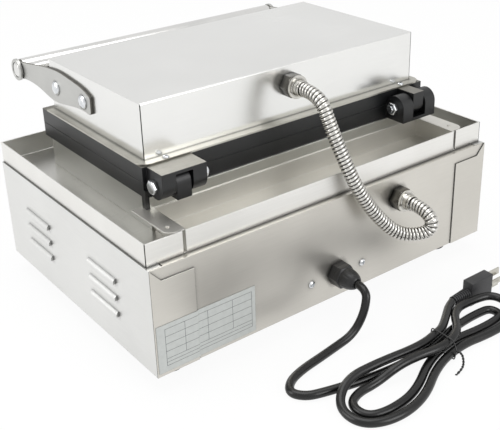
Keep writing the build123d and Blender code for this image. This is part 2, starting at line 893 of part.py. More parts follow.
back_screw_x = 30.0
back_screw_z = gland_z - 1.0
back_screw_radius = 3.4
back_screw_rise = 2.0
with BuildPart() as back_screws:
    with BuildSketch(facing_back(0, back_panel_y, 0)):
        with Locations((-back_screw_x, back_screw_z), (back_screw_x, back_screw_z)):
            Circle(back_screw_radius)
    extrude(amount=back_screw_rise, taper=30)
save(back_screws.part, "back_screws")

# Conduit fittings: a hexagon nut with a round collar and a ferrule outside, a locknut inside
fitting_nut = 12.0
collar_thick = 1.8
collar_radius = 10.4
ferrule_length = 7.0
locknut_height = 4.0
fitting_length = fitting_nut + ferrule_length


def make_fitting(x, y, z, name):
    with BuildPart() as fitting:
        with BuildSketch(facing_back(x, y, z)):
            RegularPolygon(fitting_flats / 2, 6, major_radius=False)
        extrude(amount=fitting_nut - collar_thick)
        with BuildSketch(facing_back(x, y + fitting_nut, z)):
            Circle(collar_radius)
        extrude(amount=-collar_thick)
        with BuildSketch(facing_back(x, y + fitting_nut, z)):
            Circle(ferrule_radius)
        extrude(amount=ferrule_length)
        with BuildSketch(facing_back(x, y, z)):
            Circle(conduit_hole)
        extrude(amount=-locknut_height - 2 * sheet)
        with BuildSketch(facing_back(x, y - locknut_height - 2 * sheet, z)):
            Circle(hose_bore)
        extrude(amount=fitting_length + locknut_height + 2 * sheet, mode=Mode.SUBTRACT)
    save(fitting.part, name)


def make_locknut(x, y, z, bore, flats, name):
    with BuildPart() as locknut:
        with BuildSketch(facing_back(x, y, z)):
            RegularPolygon(flats / 2, 6, major_radius=False)
            Circle(bore, mode=Mode.SUBTRACT)
        extrude(amount=-locknut_height)
    save(locknut.part, name)


make_fitting(0, lid_back, lid_fitting_z, "conduit_lid_nut")
make_fitting(base_fitting_x, back_panel_y, base_fitting_z, "conduit_base_nut")
make_locknut(0, lid_back - sheet, lid_fitting_z, conduit_hole, fitting_flats, "conduit_lid_locknut")
make_locknut(
    base_fitting_x, back_panel_y - sheet, base_fitting_z, conduit_hole, fitting_flats, "conduit_base_locknut"
)

# Cable gland of the mains lead
gland_nut = 12.0
gland_mouth = cord_radius + 1.4
gland_recess = 2.0
recess_gap = 0.15
with BuildPart() as gland_body:
    with BuildSketch(facing_back(0, back_panel_y, gland_z)):
        RegularPolygon(gland_flats / 2, 6, major_radius=False)
    extrude(amount=gland_nut / 2)
    with BuildSketch(facing_back(0, back_panel_y, gland_z)):
        Circle(gland_hole)
    extrude(amount=-locknut_height - 3 * sheet)
save(gland_body.part, "gland_body")

with BuildPart() as gland_dome:
    with BuildSketch(facing_back(0, back_panel_y + gland_nut / 2, gland_z)):
        RegularPolygon(gland_flats / 2, 6, major_radius=False)
    extrude(amount=gland_nut / 2)
    with BuildSketch(facing_back(0, back_panel_y + gland_nut, gland_z)):
        Circle(gland_flats / 2 - 0.6)
    with BuildSketch(facing_back(0, back_panel_y + gland_reach, gland_z)):
        Circle(gland_mouth)
    loft()
    with BuildSketch(facing_back(0, back_panel_y + gland_reach, gland_z)):
        Circle(cord_radius + recess_gap)
    extrude(amount=-gland_recess, mode=Mode.SUBTRACT)
save(gland_dome.part, "gland_dome")
make_locknut(0, back_panel_y - sheet, gland_z, gland_hole, gland_flats + 4.0, "gland_locknut")


# Conduit: a ribbed hose with its bore, on a smooth line through hand-set corners
hose_start = lid_back + fitting_length
hose_end = back_panel_y + fitting_length
hose_corners = [
    (0, hose_start, lid_fitting_z),
    (0, 102, lid_fitting_z),
    (-1, 113, 180),
    (-5, 123, 156),
    (-13, 133, 126),
    (-30, 141, 95),
    (-50, 153, 72),
    (-72, 171, 76),
    (base_fitting_x, 166, base_fitting_z),
    (base_fitting_x, hose_end, base_fitting_z),
]


def middle(a, b):
    return (Vector(*a) + Vector(*b)) / 2


hose_straight = 5.0
with BuildLine() as hose_line:
    bend_start = Vector(*hose_corners[0]) + Vector(0, hose_straight, 0)
    bend_end = Vector(*hose_corners[-1]) + Vector(0, hose_straight, 0)
    Line(Vector(*hose_corners[0]), bend_start)
    for i in range(1, len(hose_corners) - 1):
        first = bend_start if i == 1 else middle(hose_corners[i - 1], hose_corners[i])
        is_last = i == len(hose_corners) - 2
        last = bend_end if is_last else middle(hose_corners[i], hose_corners[i + 1])
        Bezier(first, Vector(*hose_corners[i]), last)
    Line(bend_end, Vector(*hose_corners[-1]))
hose_wire = hose_line.wire()
hose_length = hose_wire.length
plain_end = 1.5
rib_count = round((hose_length - 2 * plain_end) / hose_pitch)
rib_pitch = (hose_length - 2 * plain_end) / rib_count
print(f"conduit: {hose_length:.1f} mm long, {rib_count} ribs")


def hose_planes(stations):
    """Planes square to the hose's line, their X axes carried along without twisting."""
    planes = []
    x_dir = Vector(1, 0, 0)
    for s in stations:
        here = hose_wire.position_at(s, position_mode=PositionMode.LENGTH)
        along = hose_wire.tangent_at(s, position_mode=PositionMode.LENGTH)
        x_dir = (x_dir - along * x_dir.dot(along)).normalized()
        planes.append(Plane(origin=here, x_dir=x_dir, z_dir=along))
    return planes


rib_steps = [(0.0, hose_root), (0.25, hose_crest), (0.6, hose_crest), (0.85, hose_root)]
stations = [0.0]
radii = [hose_root]
for rib in range(rib_count):
    for share, radius in rib_steps:
        stations.append(plain_end + (rib + share) * rib_pitch)
        radii.append(radius)
stations.append(hose_length)
radii.append(hose_root)
bore_steps = 60
bore_stations = [i * hose_length / bore_steps for i in range(bore_steps + 1)]
with BuildPart() as conduit:
    for plane, radius in zip(hose_planes(stations), radii):
        with BuildSketch(plane):
            Circle(radius)
    loft(ruled=True)
    for plane in hose_planes(bore_stations):
        with BuildSketch(plane):
            Circle(hose_bore)
    loft(ruled=True, mode=Mode.SUBTRACT)
save(conduit.part, "conduit")


# Mains lead: from the gland down to the floor and round to the bundle
def tube_radii(points):
    """The largest arcs that the runs leave room for, one at each corner."""
    radii = []
    for a, b, c in zip(points, points[1:], points[2:]):
        before = Vector(*b) - Vector(*a)
        after = Vector(*c) - Vector(*b)
        turn = radians(before.get_angle(after))
        radii.append(0.45 * min(before.length, after.length) / tan(turn / 2))
    return radii


def make_tube(points, radius, name):
    radii = tube_radii(points)
    with BuildPart() as tube:
        with BuildLine() as path:
            FilletPolyline(*points, radius=radii)
        with BuildSketch(Plane(origin=path.wire() @ 0, z_dir=path.wire() % 0)):
            Circle(radius)
        sweep(path=path.wire())
    length = path.wire().length
    expected = pi * radius**2 * length
    print(f"{name}: {length:.1f} mm, radii {[round(r, 1) for r in radii]}")
    print(f"{name}: volume {tube.part.volume:.0f}, section times length {expected:.0f}")
    save(tube.part, name)
    return length


gland_end = back_panel_y + gland_reach - gland_recess
lead_points = [
    (0, gland_end, gland_z),
    (0, 164, gland_z),
    (5, 168, 28),
    (12, 168, 14),
    (23, 168.5, 6),
    (38, 169, cord_radius),
    (60, 172.5, cord_radius),
    (82, 175.5, cord_radius),
    (100, 181, cord_radius),
    (110, 192, cord_radius),
    (103, 203.5, cord_radius),
    (89, 209, cord_radius),
    (75, 212.5, cord_radius),
]
lead_length = make_tube(lead_points, cord_radius, "cord_lead")

# Bundle: two folded turns drawn in at the waist, each lobe's inner turn and outer turn one step apart
low = cord_radius
waist_low = low + 1.3
layer = 8.2
waist_x = -27.0
waist_pitch = 9.2
waist_slots = [220.5, 220.5 + waist_pitch, 220.5 + 2 * waist_pitch]
waist_lean = radians(10)
to_left = (-cos(waist_lean), -sin(waist_lean), 0)
to_right = (cos(waist_lean), sin(waist_lean), 0)
near_slots = [234.0, 219.5]
step = 9.4
high = waist_low + layer


def lobe_to_left(turn):
    """Shoulder, tip and shoulder of a turn of the lobe towards the plug."""
    out = turn * step
    raised = low + turn * layer
    return [
        ((-86, 212.5 - out, raised), (-1, 0, 0)),
        ((-106 - out, 221 - out / 4, raised), (0, 1, 0)),
        ((-88, 229.8 + out, low), (1, 0, 0)),
        ((waist_x, waist_slots[1 + turn], waist_low), to_right),
    ]


def lobe_to_right(turn):
    """Shoulder, tip and shoulder of a turn of the lobe towards the lead, ending on the upper layer."""
    out = turn * step
    climbed = high if turn else low
    nodes = [
        ((54, 257 + out, low), (0.995, 0.1, 0)),
        ((83 + out, 242, low), (0, -1, 0)),
        ((60, 226.5 - out, climbed), (-1, 0.02, 0)),
    ]
    if turn == 0:
        nodes.append(((16, 231, high), (-1, 0.05, 0)))
    nodes.append(((waist_x, near_slots[turn], high), to_left))
    return nodes


lead_heading = Vector(*lead_points[-1]) - Vector(*lead_points[-2])
bundle_end = (-50, 210, high)
bundle_end_heading = (-0.84, -0.54, 0)
nodes = [(lead_points[-1], tuple(lead_heading.normalized()))]
nodes.append(((waist_x, waist_slots[0], waist_low), to_left))
for turn in range(2):
    nodes += lobe_to_left(turn)
    nodes += lobe_to_right(turn)
nodes.append((bundle_end, bundle_end_heading))


def biarc_corners(a, b):
    """The two corners whose tangent lengths are equal, between two placed headings."""
    p0, t0 = Vector(*a[0]), Vector(*a[1]).normalized()
    p1, t1 = Vector(*b[0]), Vector(*b[1]).normalized()
    chord = p1 - p0
    both = t0 + t1
    square = 2 * (1 - t0.dot(t1))
    if square < 1e-9:
        reach = chord.dot(chord) / (4 * chord.dot(t1))
    else:
        lean = chord.dot(both)
        reach = (sqrt(lean**2 + square * chord.dot(chord)) - lean) / square
    return p0 + t0 * reach, p1 - t1 * reach


straight_end = 2 * cord_radius
with BuildLine() as bundle_line:
    start, heading = nodes[0]
    begin = Vector(*start) + Vector(*heading) * straight_end
    Line(Vector(*start), begin)
    here, here_heading = begin, Vector(*heading)
    final, final_heading = Vector(*nodes[-1][0]), Vector(*nodes[-1][1]).normalized()
    stops = nodes[1:-1] + [(tuple(final - final_heading * straight_end), tuple(final_heading))]
    for place, direction in stops:
        corner_a, corner_b = biarc_corners((tuple(here), tuple(here_heading)), (place, direction))
        joint = (corner_a + corner_b) / 2
        TangentArc(here, joint, tangent=here_heading)
        TangentArc(joint, Vector(*place), tangent=corner_b - corner_a)
        here, here_heading = Vector(*place), Vector(*direction).normalized()
    Line(here, final)
bundle_wire = bundle_line.wire()
bundle_length = bundle_wire.length


def least_gap(wire, radius, spacing=2.0, apart=30.0):
    """The least clear distance between stretches of a tube that are not next to each other."""
    count = int(wire.length / spacing)
    points = [wire.position_at(i / count) for i in range(count + 1)]
    skip = int(apart / spacing)
    least = 1e9
    for i in range(len(points)):
        for j in range(i + skip, len(points)):
            least = min(least, (points[i] - points[j]).length)
    return least - 2 * radius


print(f"cord_hank: {bundle_length:.1f} mm, least gap {least_gap(bundle_wire, cord_radius):.2f} mm")
arc_radii = [round(e.radius, 1) for e in bundle_wire.edges().filter_by(GeomType.CIRCLE)]
print("cord_hank: arc radii", sorted(arc_radii)[:8])
with BuildPart() as cord_hank:
    with BuildSketch(Plane(origin=bundle_wire @ 0, z_dir=bundle_wire % 0)):
        Circle(cord_radius)
    sweep(path=bundle_wire)
print(f"cord_hank: volume {cord_hank.part.volume:.0f} of {pi * cord_radius**2 * bundle_length:.0f}")
save(cord_hank.part, "cord_hank")

# Tail of the lead and the plug, which stands on edge
plug_height = 24.0
plug_thick = 11.0
plug_corner = 2.0
plug_front_x = -99.0
plug_length = 29.0
plug_y = 192.5
plug_z = plug_height / 2
relief_length = 20.0
relief_start = plug_front_x + relief_length
tail_points = [
    bundle_end,
    (-58.4, 204.6, high),
    (-68.5, 197.6, 12.6),
    (relief_start, plug_y + 0.7, plug_z),
]
tail_length = make_tube(tail_points, cord_radius, "cord_tail")
print(f"mains lead: {lead_length + bundle_length + tail_length:.0f} mm in all")

prong_length = 17.0
blade_spread = 6.3
blade_section = (1.5, 6.3)
blade_y = -2.0
earth_pin_y = 3.0
earth_pin_radius = 2.4
with BuildPart() as plug_body:
    with BuildSketch(Plane(origin=(plug_front_x, plug_y, plug_z), x_dir=(0, 1, 0), z_dir=(-1, 0, 0))):
        RectangleRounded(plug_thick, plug_height, plug_corner)
    with BuildSketch(
        Plane(origin=(plug_front_x - plug_length, plug_y, plug_z), x_dir=(0, 1, 0), z_dir=(-1, 0, 0))
    ):
        RectangleRounded(plug_thick, plug_height, plug_corner)
    loft()
    heading = Vector(*tail_points[-1]) - Vector(*tail_points[-2])
    with BuildSketch(Plane(origin=(plug_front_x, plug_y, plug_z), x_dir=(0, 1, 0), z_dir=(1, 0, 0))):
        Circle(plug_thick / 2 - 0.2)
    with BuildSketch(Plane(origin=tail_points[-1], x_dir=(0, 1, 0), z_dir=-heading.normalized())):
        Circle(cord_radius + 0.4)
    loft()
save(plug_body.part, "plug_body")

prong_face = plug_front_x - plug_length
with BuildPart() as plug_prongs:
    with BuildSketch(Plane(origin=(prong_face, plug_y, plug_z), x_dir=(0, 1, 0), z_dir=(-1, 0, 0))):
        with Locations((blade_y, blade_spread), (blade_y, -blade_spread)):
            Rectangle(*blade_section)
        with Locations((earth_pin_y, 0)):
            Circle(earth_pin_radius)
    extrude(amount=prong_length)
save(plug_prongs.part, "plug_prongs")

# Twist tie round the waist, with its twisted end lying out to the side
tie_radius = 0.6
tie_near = min(waist_slots[0], near_slots[1]) - cord_radius - 0.8
tie_far = waist_slots[2] + cord_radius + 0.8
tie_top = high + cord_radius + 0.8
with BuildPart() as cord_tie:
    with BuildLine() as tie_path:
        FilletPolyline(
            (waist_x, tie_near, tie_radius + 0.05),
            (waist_x, tie_far, tie_radius + 0.05),
            (waist_x, tie_far, waist_low + 5.0),
            (waist_x, near_slots[0] + cord_radius + 1.2, tie_top),
            (waist_x, tie_near, tie_top),
            radius=2.0,
            close=True,
        )
    with BuildSketch(Plane(origin=tie_path.wire() @ 0, z_dir=tie_path.wire() % 0)):
        Circle(tie_radius)
    sweep(path=tie_path.wire())
    with BuildLine() as tie_tail:
        FilletPolyline(
            (waist_x, tie_far - 0.2, waist_low + 3.0),
            (waist_x - 1.0, tie_far + 6.0, waist_low + 6.0),
            (waist_x + 3.0, tie_far + 12.0, tie_radius + 4.0),
            (waist_x + 16.0, tie_far + 15.0, tie_radius + 0.1),
            radius=3.0,
        )
    with BuildSketch(Plane(origin=tie_tail.wire() @ 0, z_dir=tie_tail.wire() % 0)):
        Circle(tie_radius * 1.3)
    sweep(path=tie_tail.wire())
save(cord_tie.part, "cord_tie")
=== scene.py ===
import math

import bmesh
import bpy
from mathutils import Matrix, Quaternion, Vector


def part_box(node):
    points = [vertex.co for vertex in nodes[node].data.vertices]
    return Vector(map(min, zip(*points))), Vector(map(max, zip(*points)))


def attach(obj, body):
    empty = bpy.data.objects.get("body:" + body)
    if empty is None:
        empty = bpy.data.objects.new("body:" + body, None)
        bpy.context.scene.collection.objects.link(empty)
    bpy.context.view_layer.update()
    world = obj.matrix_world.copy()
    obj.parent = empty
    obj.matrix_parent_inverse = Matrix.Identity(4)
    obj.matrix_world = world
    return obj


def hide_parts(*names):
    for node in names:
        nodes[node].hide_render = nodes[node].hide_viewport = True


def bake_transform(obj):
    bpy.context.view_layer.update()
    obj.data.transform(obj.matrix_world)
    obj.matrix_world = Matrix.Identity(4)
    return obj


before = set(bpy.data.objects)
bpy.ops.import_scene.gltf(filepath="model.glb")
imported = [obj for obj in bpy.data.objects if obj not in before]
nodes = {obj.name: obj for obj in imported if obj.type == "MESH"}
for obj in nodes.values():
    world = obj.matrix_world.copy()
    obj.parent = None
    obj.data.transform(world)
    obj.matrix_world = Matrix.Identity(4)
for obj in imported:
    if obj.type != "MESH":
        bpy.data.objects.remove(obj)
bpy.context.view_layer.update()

bpy.ops.object.select_all(action="DESELECT")

# The camera looks at the machine's back from its right-hand rear and a little from above, 0.9 m away.
# It is a 66 mm lens on a 36 mm frame, turned a degree and a half.
azimuth = math.radians(143.12)
elevation = math.radians(25.02)
roll = math.radians(-1.6)
eye = Vector((0.4765, 0.6470, 0.4634))
focal_pixels = 914.23
centre_pixel = (257.76, 179.33)
frame_pixels = (500, 430)
back = Vector((
    math.sin(azimuth) * math.cos(elevation),
    -math.cos(azimuth) * math.cos(elevation),
    math.sin(elevation),
))
level = Vector((0, 0, 1)).cross(back).normalized()
above = back.cross(level)
right = level * math.cos(roll) + above * math.sin(roll)
up = above * math.cos(roll) - level * math.sin(roll)
lens = bpy.data.cameras.new("camera")
lens.sensor_width = 36.0
lens.lens = focal_pixels * lens.sensor_width / frame_pixels[0]
lens.shift_x = (frame_pixels[0] / 2 - centre_pixel[0]) / frame_pixels[0]
lens.shift_y = (centre_pixel[1] - frame_pixels[1] / 2) / frame_pixels[0]
lens.clip_start = 0.01
camera = bpy.data.objects.new("camera", lens)
camera.matrix_world = Matrix.Translation(eye) @ Matrix((right, up, back)).transposed().to_4x4()
bpy.context.scene.collection.objects.link(camera)
bpy.context.scene.camera = camera
bpy.context.scene.view_settings.view_transform = "Standard"


# The studio is white paper under the machine and a white room round it. The paper looks white and keeps the
# shadow. Soft boxes hang above the machine, behind it and at its right-hand end.
def linear(hex_colour):
    """An sRGB hex colour as linear RGBA."""
    parts = [int(hex_colour[i:i + 2], 16) / 255 for i in (1, 3, 5)]
    return [c / 12.92 if c <= 0.04045 else ((c + 0.055) / 1.055) ** 2.4 for c in parts] + [1.0]


def add_node(tree, kind, inputs=None, **settings):
    """Adds a node with its settings. Each named input gets a value or a link."""
    node = tree.nodes.new(kind)
    for field, value in settings.items():
        setattr(node, field, value)
    for socket, value in (inputs or {}).items():
        if isinstance(value, bpy.types.NodeSocket):
            tree.links.new(value, node.inputs[socket])
        else:
            node.inputs[socket].default_value = value
    return node


def new_material(name):
    """A material with an empty node tree."""
    material = bpy.data.materials.new(name)
    material.use_nodes = True
    material.node_tree.nodes.clear()
    return material, material.node_tree


bpy.ops.mesh.primitive_circle_add(vertices=96, radius=6.0, fill_type="NGON", location=(0, 0, 0))
studio_floor = bpy.context.object
studio_floor.name = "studio_floor"
floor_paper, tree = new_material("white_background_paper")
white_to_camera = 0.93
white_to_metal = 0.72
paper = add_node(tree, "ShaderNodeBsdfDiffuse", {"Color": linear("#f4f4f3")})
glow = add_node(tree, "ShaderNodeEmission", {"Color": linear("#ffffff"), "Strength": 1.0})
rays = add_node(tree, "ShaderNodeLightPath")
seen = add_node(
    tree, "ShaderNodeMath", {0: rays.outputs["Is Camera Ray"], 1: white_to_camera}, operation="MULTIPLY"
)
mirrored = add_node(
    tree,
    "ShaderNodeMath",
    {0: rays.outputs["Is Glossy Ray"], 1: white_to_metal, 2: seen.outputs[0]},
    operation="MULTIPLY_ADD",
)
share = add_node(
    tree,
    "ShaderNodeMath",
    {0: rays.outputs["Is Transmission Ray"], 1: white_to_metal, 2: mirrored.outputs[0]},
    operation="MULTIPLY_ADD",
    use_clamp=True,
)
mixed = add_node(tree, "ShaderNodeMixShader", {0: share.outputs[0], 1: paper.outputs[0], 2: glow.outputs[0]})
add_node(tree, "ShaderNodeOutputMaterial", {"Surface": mixed.outputs[0]})
studio_floor.data.materials.append(floor_paper)

room = bpy.data.worlds.new("studio_room")
bpy.context.scene.world = room
room.use_nodes = True
tree = room.node_tree
tree.nodes.clear()
rays = add_node(tree, "ShaderNodeLightPath")
seen = add_node(
    tree,
    "ShaderNodeMath",
    {0: rays.outputs["Is Camera Ray"], 1: rays.outputs["Is Transmission Ray"]},
    operation="MAXIMUM",
)
lit = 0.6
seen_white = 0.4
mirrored_white = 0.26
strength = add_node(
    tree, "ShaderNodeMath", {0: seen.outputs[0], 1: seen_white, 2: lit}, operation="MULTIPLY_ADD"
)
strength = add_node(
    tree,
    "ShaderNodeMath",
    {0: rays.outputs["Is Glossy Ray"], 1: mirrored_white, 2: strength.outputs[0]},
    operation="MULTIPLY_ADD",
)
walls = add_node(tree, "ShaderNodeBackground", {"Color": linear("#fdfdfd"), "Strength": strength.outputs[0]})
add_node(tree, "ShaderNodeOutputWorld", {"Surface": walls.outputs[0]})

lit_place = Vector((0, 0, 0.1))
soft_boxes = [
    ("top_box", (0.1, -0.2, 1.8), 1.6, 16),
    ("right_box", (1.7, -0.7, 0.8), 1.2, 12),
    ("rear_box", (-0.5, 2.0, 0.9), 1.2, 17),
]
for name, place, size, power in soft_boxes:
    lamp = bpy.data.lights.new(name, "AREA")
    lamp.size = size
    lamp.energy = power
    box = bpy.data.objects.new(name, lamp)
    towards = lit_place - Vector(place)
    box.matrix_world = Matrix.Translation(place) @ towards.to_track_quat("-Z", "Y").to_matrix().to_4x4()
    bpy.context.scene.collection.objects.link(box)


# Mains lead: a 7.5 mm black rubber cord of 1.24 m, extruded round three cores. It drops from the gland,
# runs to the left along the table and is folded into a bundle of two turns before its plug.
cord_diameter = 0.0075
cord_low = 3.75
gland_mouth = (0, 150, 42)
lead_points = [
    gland_mouth,
    (0, 164, 42),
    (5, 168, 28),
    (12, 168, 14),
    (23, 168.5, 6),
    (38, 169, cord_low),
    (60, 172.5, cord_low),
    (82, 175.5, cord_low),
    (100, 181, cord_low),
    (110, 192, cord_low),
    (103, 203.5, cord_low),
    (89, 209, cord_low),
    (75, 212.5, cord_low),
]
waist_x = -27.0
waist_low = cord_low + 1.3
layer = 8.2
high = waist_low + layer
waist_pitch = 9.2
waist_slots = [220.5, 220.5 + waist_pitch, 220.5 + 2 * waist_pitch]
near_slots = [234.0, 219.5]
step = 9.4
lean = math.radians(10)
to_left = (-math.cos(lean), -math.sin(lean), 0)
to_right = (math.cos(lean), math.sin(lean), 0)
plug_face = (-99.0, 192.5, 12.0)
relief_length = 20.0
relief_end = (plug_face[0] + relief_length, plug_face[1] + 0.7, plug_face[2])


def lobe_to_left(turn):
    """A turn of the lobe by the plug: shoulder, tip, shoulder and waist."""
    out = turn * step
    raised = cord_low + turn * layer
    return [
        ((-86, 212.5 - out, raised), (-1, 0, 0)),
        ((-106 - out, 221 - out / 4, raised), (0, 1, 0)),
        ((-88, 229.8 + out, cord_low), (1, 0, 0)),
        ((waist_x, waist_slots[1 + turn], waist_low), to_right),
    ]


def lobe_to_right(turn):
    """A turn of the lobe by the lead: shoulder, tip, shoulder and waist."""
    out = turn * step
    climbed = high if turn else cord_low
    stops = [
        ((54, 257 + out, cord_low), (0.995, 0.1, 0)),
        ((83 + out, 242, cord_low), (0, -1, 0)),
        ((60, 226.5 - out, climbed), (-1, 0.02, 0)),
    ]
    if turn == 0:
        stops.append(((16, 231, high), (-1, 0.05, 0)))
    stops.append(((waist_x, near_slots[turn], high), to_left))
    return stops


def turn_corners(a, b):
    """The two corners, equally far from their ends, of a bend between two placed headings."""
    p0, t0 = Vector(a[0]), Vector(a[1]).normalized()
    p1, t1 = Vector(b[0]), Vector(b[1]).normalized()
    chord = p1 - p0
    square = 2 * (1 - t0.dot(t1))
    if square < 1e-9:
        reach = chord.dot(chord) / (4 * chord.dot(t1))
    else:
        along = chord.dot(t0 + t1)
        reach = (math.sqrt(along ** 2 + square * chord.dot(chord)) - along) / square
    return [p0 + t0 * reach, p1 - t1 * reach]


bundle_end = (-50, 210, high)
heading = (Vector(lead_points[-1]) - Vector(lead_points[-2])).normalized()
stops = [(tuple(Vector(lead_points[-1]) + heading * 2 * cord_low), tuple(heading))]
stops.append(((waist_x, waist_slots[0], waist_low), to_left))
for turn in range(2):
    stops += lobe_to_left(turn) + lobe_to_right(turn)
leaving = Vector((-0.84, -0.54, 0)).normalized()
stops.append((tuple(Vector(bundle_end) - leaving * 2 * cord_low), tuple(leaving)))
route = [Vector(p) for p in lead_points[:-1]]
for a, b in zip(stops, stops[1:]):
    route += turn_corners(a, b)
route += [
    Vector((-58.4, 204.6, high)),
    Vector((-68.5, 197.6, 12.6)),
    Vector(relief_end),
]


def nurbs_line(name, points):
    """A curve object of one smooth spline whose control points are given in millimetres."""
    curve = bpy.data.curves.new(name, "CURVE")
    curve.dimensions = "3D"
    spline = curve.splines.new("NURBS")
    spline.points.add(len(points) - 1)
    for control, place in zip(spline.points, points):
        control.co = (*(Vector(place) / 1000), 1.0)
    spline.order_u = 3
    spline.use_endpoint_u = True
    spline.resolution_u = 12
    piece = bpy.data.objects.new(name, curve)
    bpy.context.scene.collection.objects.link(piece)
    return piece


def thicken(piece, radius, resolution, material):
    """Gives a curve object a round section, closed ends and its material."""
    piece.data.bevel_depth = radius
    piece.data.bevel_resolution = resolution
    piece.data.use_fill_caps = True
    piece.data.materials.append(material)


def line_points(piece):
    """The points that a curve object's bare line runs through."""
    bare = bpy.data.meshes.new_from_object(piece)
    places = [v.co.copy() for v in bare.vertices]
    bpy.data.meshes.remove(bare)
    return places


def surface(
    name, colours, patch, grain, relief, roughness, stretch=(1, 1, 1), rounding=0, seam=0, joint=(), **shader
):
    """A surface whose tone and sheen drift over patches and whose skin has a grain, both in millimetres.
    A stretch above 1 draws the grain out along that axis, rounding softens the edges, and a painted shade
    darkens inner corners and grooves within the reach given for it. A joint is the X and Y of a sheet box's
    open rear corners."""
    material, tree = new_material(name)
    place = add_node(tree, "ShaderNodeTexCoord")
    patches = add_node(
        tree, "ShaderNodeTexNoise", {"Vector": place.outputs["Object"], "Scale": 1000 / patch, "Detail": 3.0}
    )
    drawn = add_node(
        tree, "ShaderNodeMapping", {"Vector": place.outputs["Object"], "Scale": [1 / s for s in stretch]}
    )
    skin = add_node(
        tree, "ShaderNodeTexNoise", {"Vector": drawn.outputs[0], "Scale": 1000 / grain, "Detail": 2.0}
    )
    blend = add_node(
        tree, "ShaderNodeMapRange", {"Value": skin.outputs["Fac"], "To Min": -0.25, "To Max": 0.25}
    )
    tone = add_node(tree, "ShaderNodeMath", {0: patches.outputs["Fac"], 1: blend.outputs[0]}, operation="ADD")
    colour = add_node(tree, "ShaderNodeValToRGB", {"Fac": tone.outputs[0]})
    for stop, position, hex_colour in zip(colour.color_ramp.elements, (0.3, 0.7), colours):
        stop.position = position
        stop.color = linear(hex_colour)
    spread = add_node(
        tree,
        "ShaderNodeMapRange",
        {
            "Value": tone.outputs[0],
            "From Min": 0.25,
            "From Max": 0.75,
            "To Min": roughness[0],
            "To Max": roughness[1],
        },
    )
    bump = add_node(
        tree, "ShaderNodeBump", {"Height": skin.outputs["Fac"], "Strength": 1.0, "Distance": relief / 1000}
    )
    if rounding:
        eased = add_node(tree, "ShaderNodeBevel", {"Radius": rounding / 1000}, samples=4)
        tree.links.new(eased.outputs[0], bump.inputs["Normal"])
    # Painted shade: inner corners and grooves within the reach are mixed towards near-black, for the shade
    # that falls there.
    if seam:
        corner_shade = add_node(tree, "ShaderNodeAmbientOcclusion", {"Distance": seam / 1000}, samples=4)
        corner_shade = add_node(tree, "ShaderNodeMath", {0: corner_shade.outputs["AO"], 1: 2.0}, operation="POWER")
        colour = add_node(
            tree,
            "ShaderNodeMix",
            {0: corner_shade.outputs[0], 6: linear("#080808"), 7: colour.outputs[0]},
            data_type="RGBA",
        )
    if joint:
        half_line = 0.6 / 1000
        axes = add_node(tree, "ShaderNodeSeparateXYZ", {0: place.outputs["Object"]})
        out = add_node(tree, "ShaderNodeMath", {0: axes.outputs[0]}, operation="ABSOLUTE")
        beside = []
        for axis, at in zip((out.outputs[0], axes.outputs[1]), joint):
            limits = {0: axis, 1: at / 1000, 2: half_line}
            beside.append(add_node(tree, "ShaderNodeMath", limits, operation="COMPARE").outputs[0])
        split = add_node(tree, "ShaderNodeMath", {0: beside[0], 1: beside[1]}, operation="MULTIPLY")
        colour = add_node(
            tree,
            "ShaderNodeMix",
            {0: split.outputs[0], 6: colour.outputs[2 if seam else 0], 7: linear("#1c1b1a")},
            data_type="RGBA",
        )
    shader_inputs = {
        "Base Color": colour.outputs[2 if seam or joint else 0],
        "Roughness": spread.outputs[0],
        "Normal": bump.outputs[0],
    }
    shader_inputs.update(shader)
    body = add_node(tree, "ShaderNodeBsdfPrincipled", shader_inputs)
    add_node(tree, "ShaderNodeOutputMaterial", {"Surface": body.outputs[0]})
    return material


def dress(material, *names):
    """Gives CAD nodes their material."""
    for name in names:
        mesh = nodes[name].data
        mesh.materials.clear()
        mesh.materials.append(material)
        mesh.polygons.foreach_set("material_index", [0] * len(mesh.polygons))


def dress_faces(material, name, keep):
    """Gives a CAD node's faces that the test keeps a material of their own."""
    mesh = nodes[name].data
    mesh.materials.append(material)
    for face in mesh.polygons:
        if keep(face):
            face.material_index = len(mesh.materials) - 1


# Black rubber, extruded: a soft sheen that is a little uneven over the cord's cores.
black_rubber = surface(
    "black_rubber_extruded",
    ("#060606", "#0e0e0e"),
    patch=14,
    grain=0.8,
    relief=0.01,
    roughness=(0.24, 0.34),
    IOR=1.48,
)
mains_lead = nurbs_line("mains_lead", route)
lead_line = line_points(mains_lead)
lead_length = sum((b - a).length for a, b in zip(lead_line, lead_line[1:]))
thicken(mains_lead, cord_diameter / 2, 6, black_rubber)
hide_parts("cord_lead", "cord_hank", "cord_tail")
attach(mains_lead, "base")


# Twist tie: two thin black plastic-covered wires round the bundle's waist. Its ends are twisted together and
# lie out to the side on the table.
tie_wire = 0.55
tie_near = min(waist_slots[0], near_slots[1]) - cord_low - 0.8
tie_far = waist_slots[2] + cord_low + 0.8
tie_top = high + cord_low + 0.8
tie_low = tie_wire + 0.1
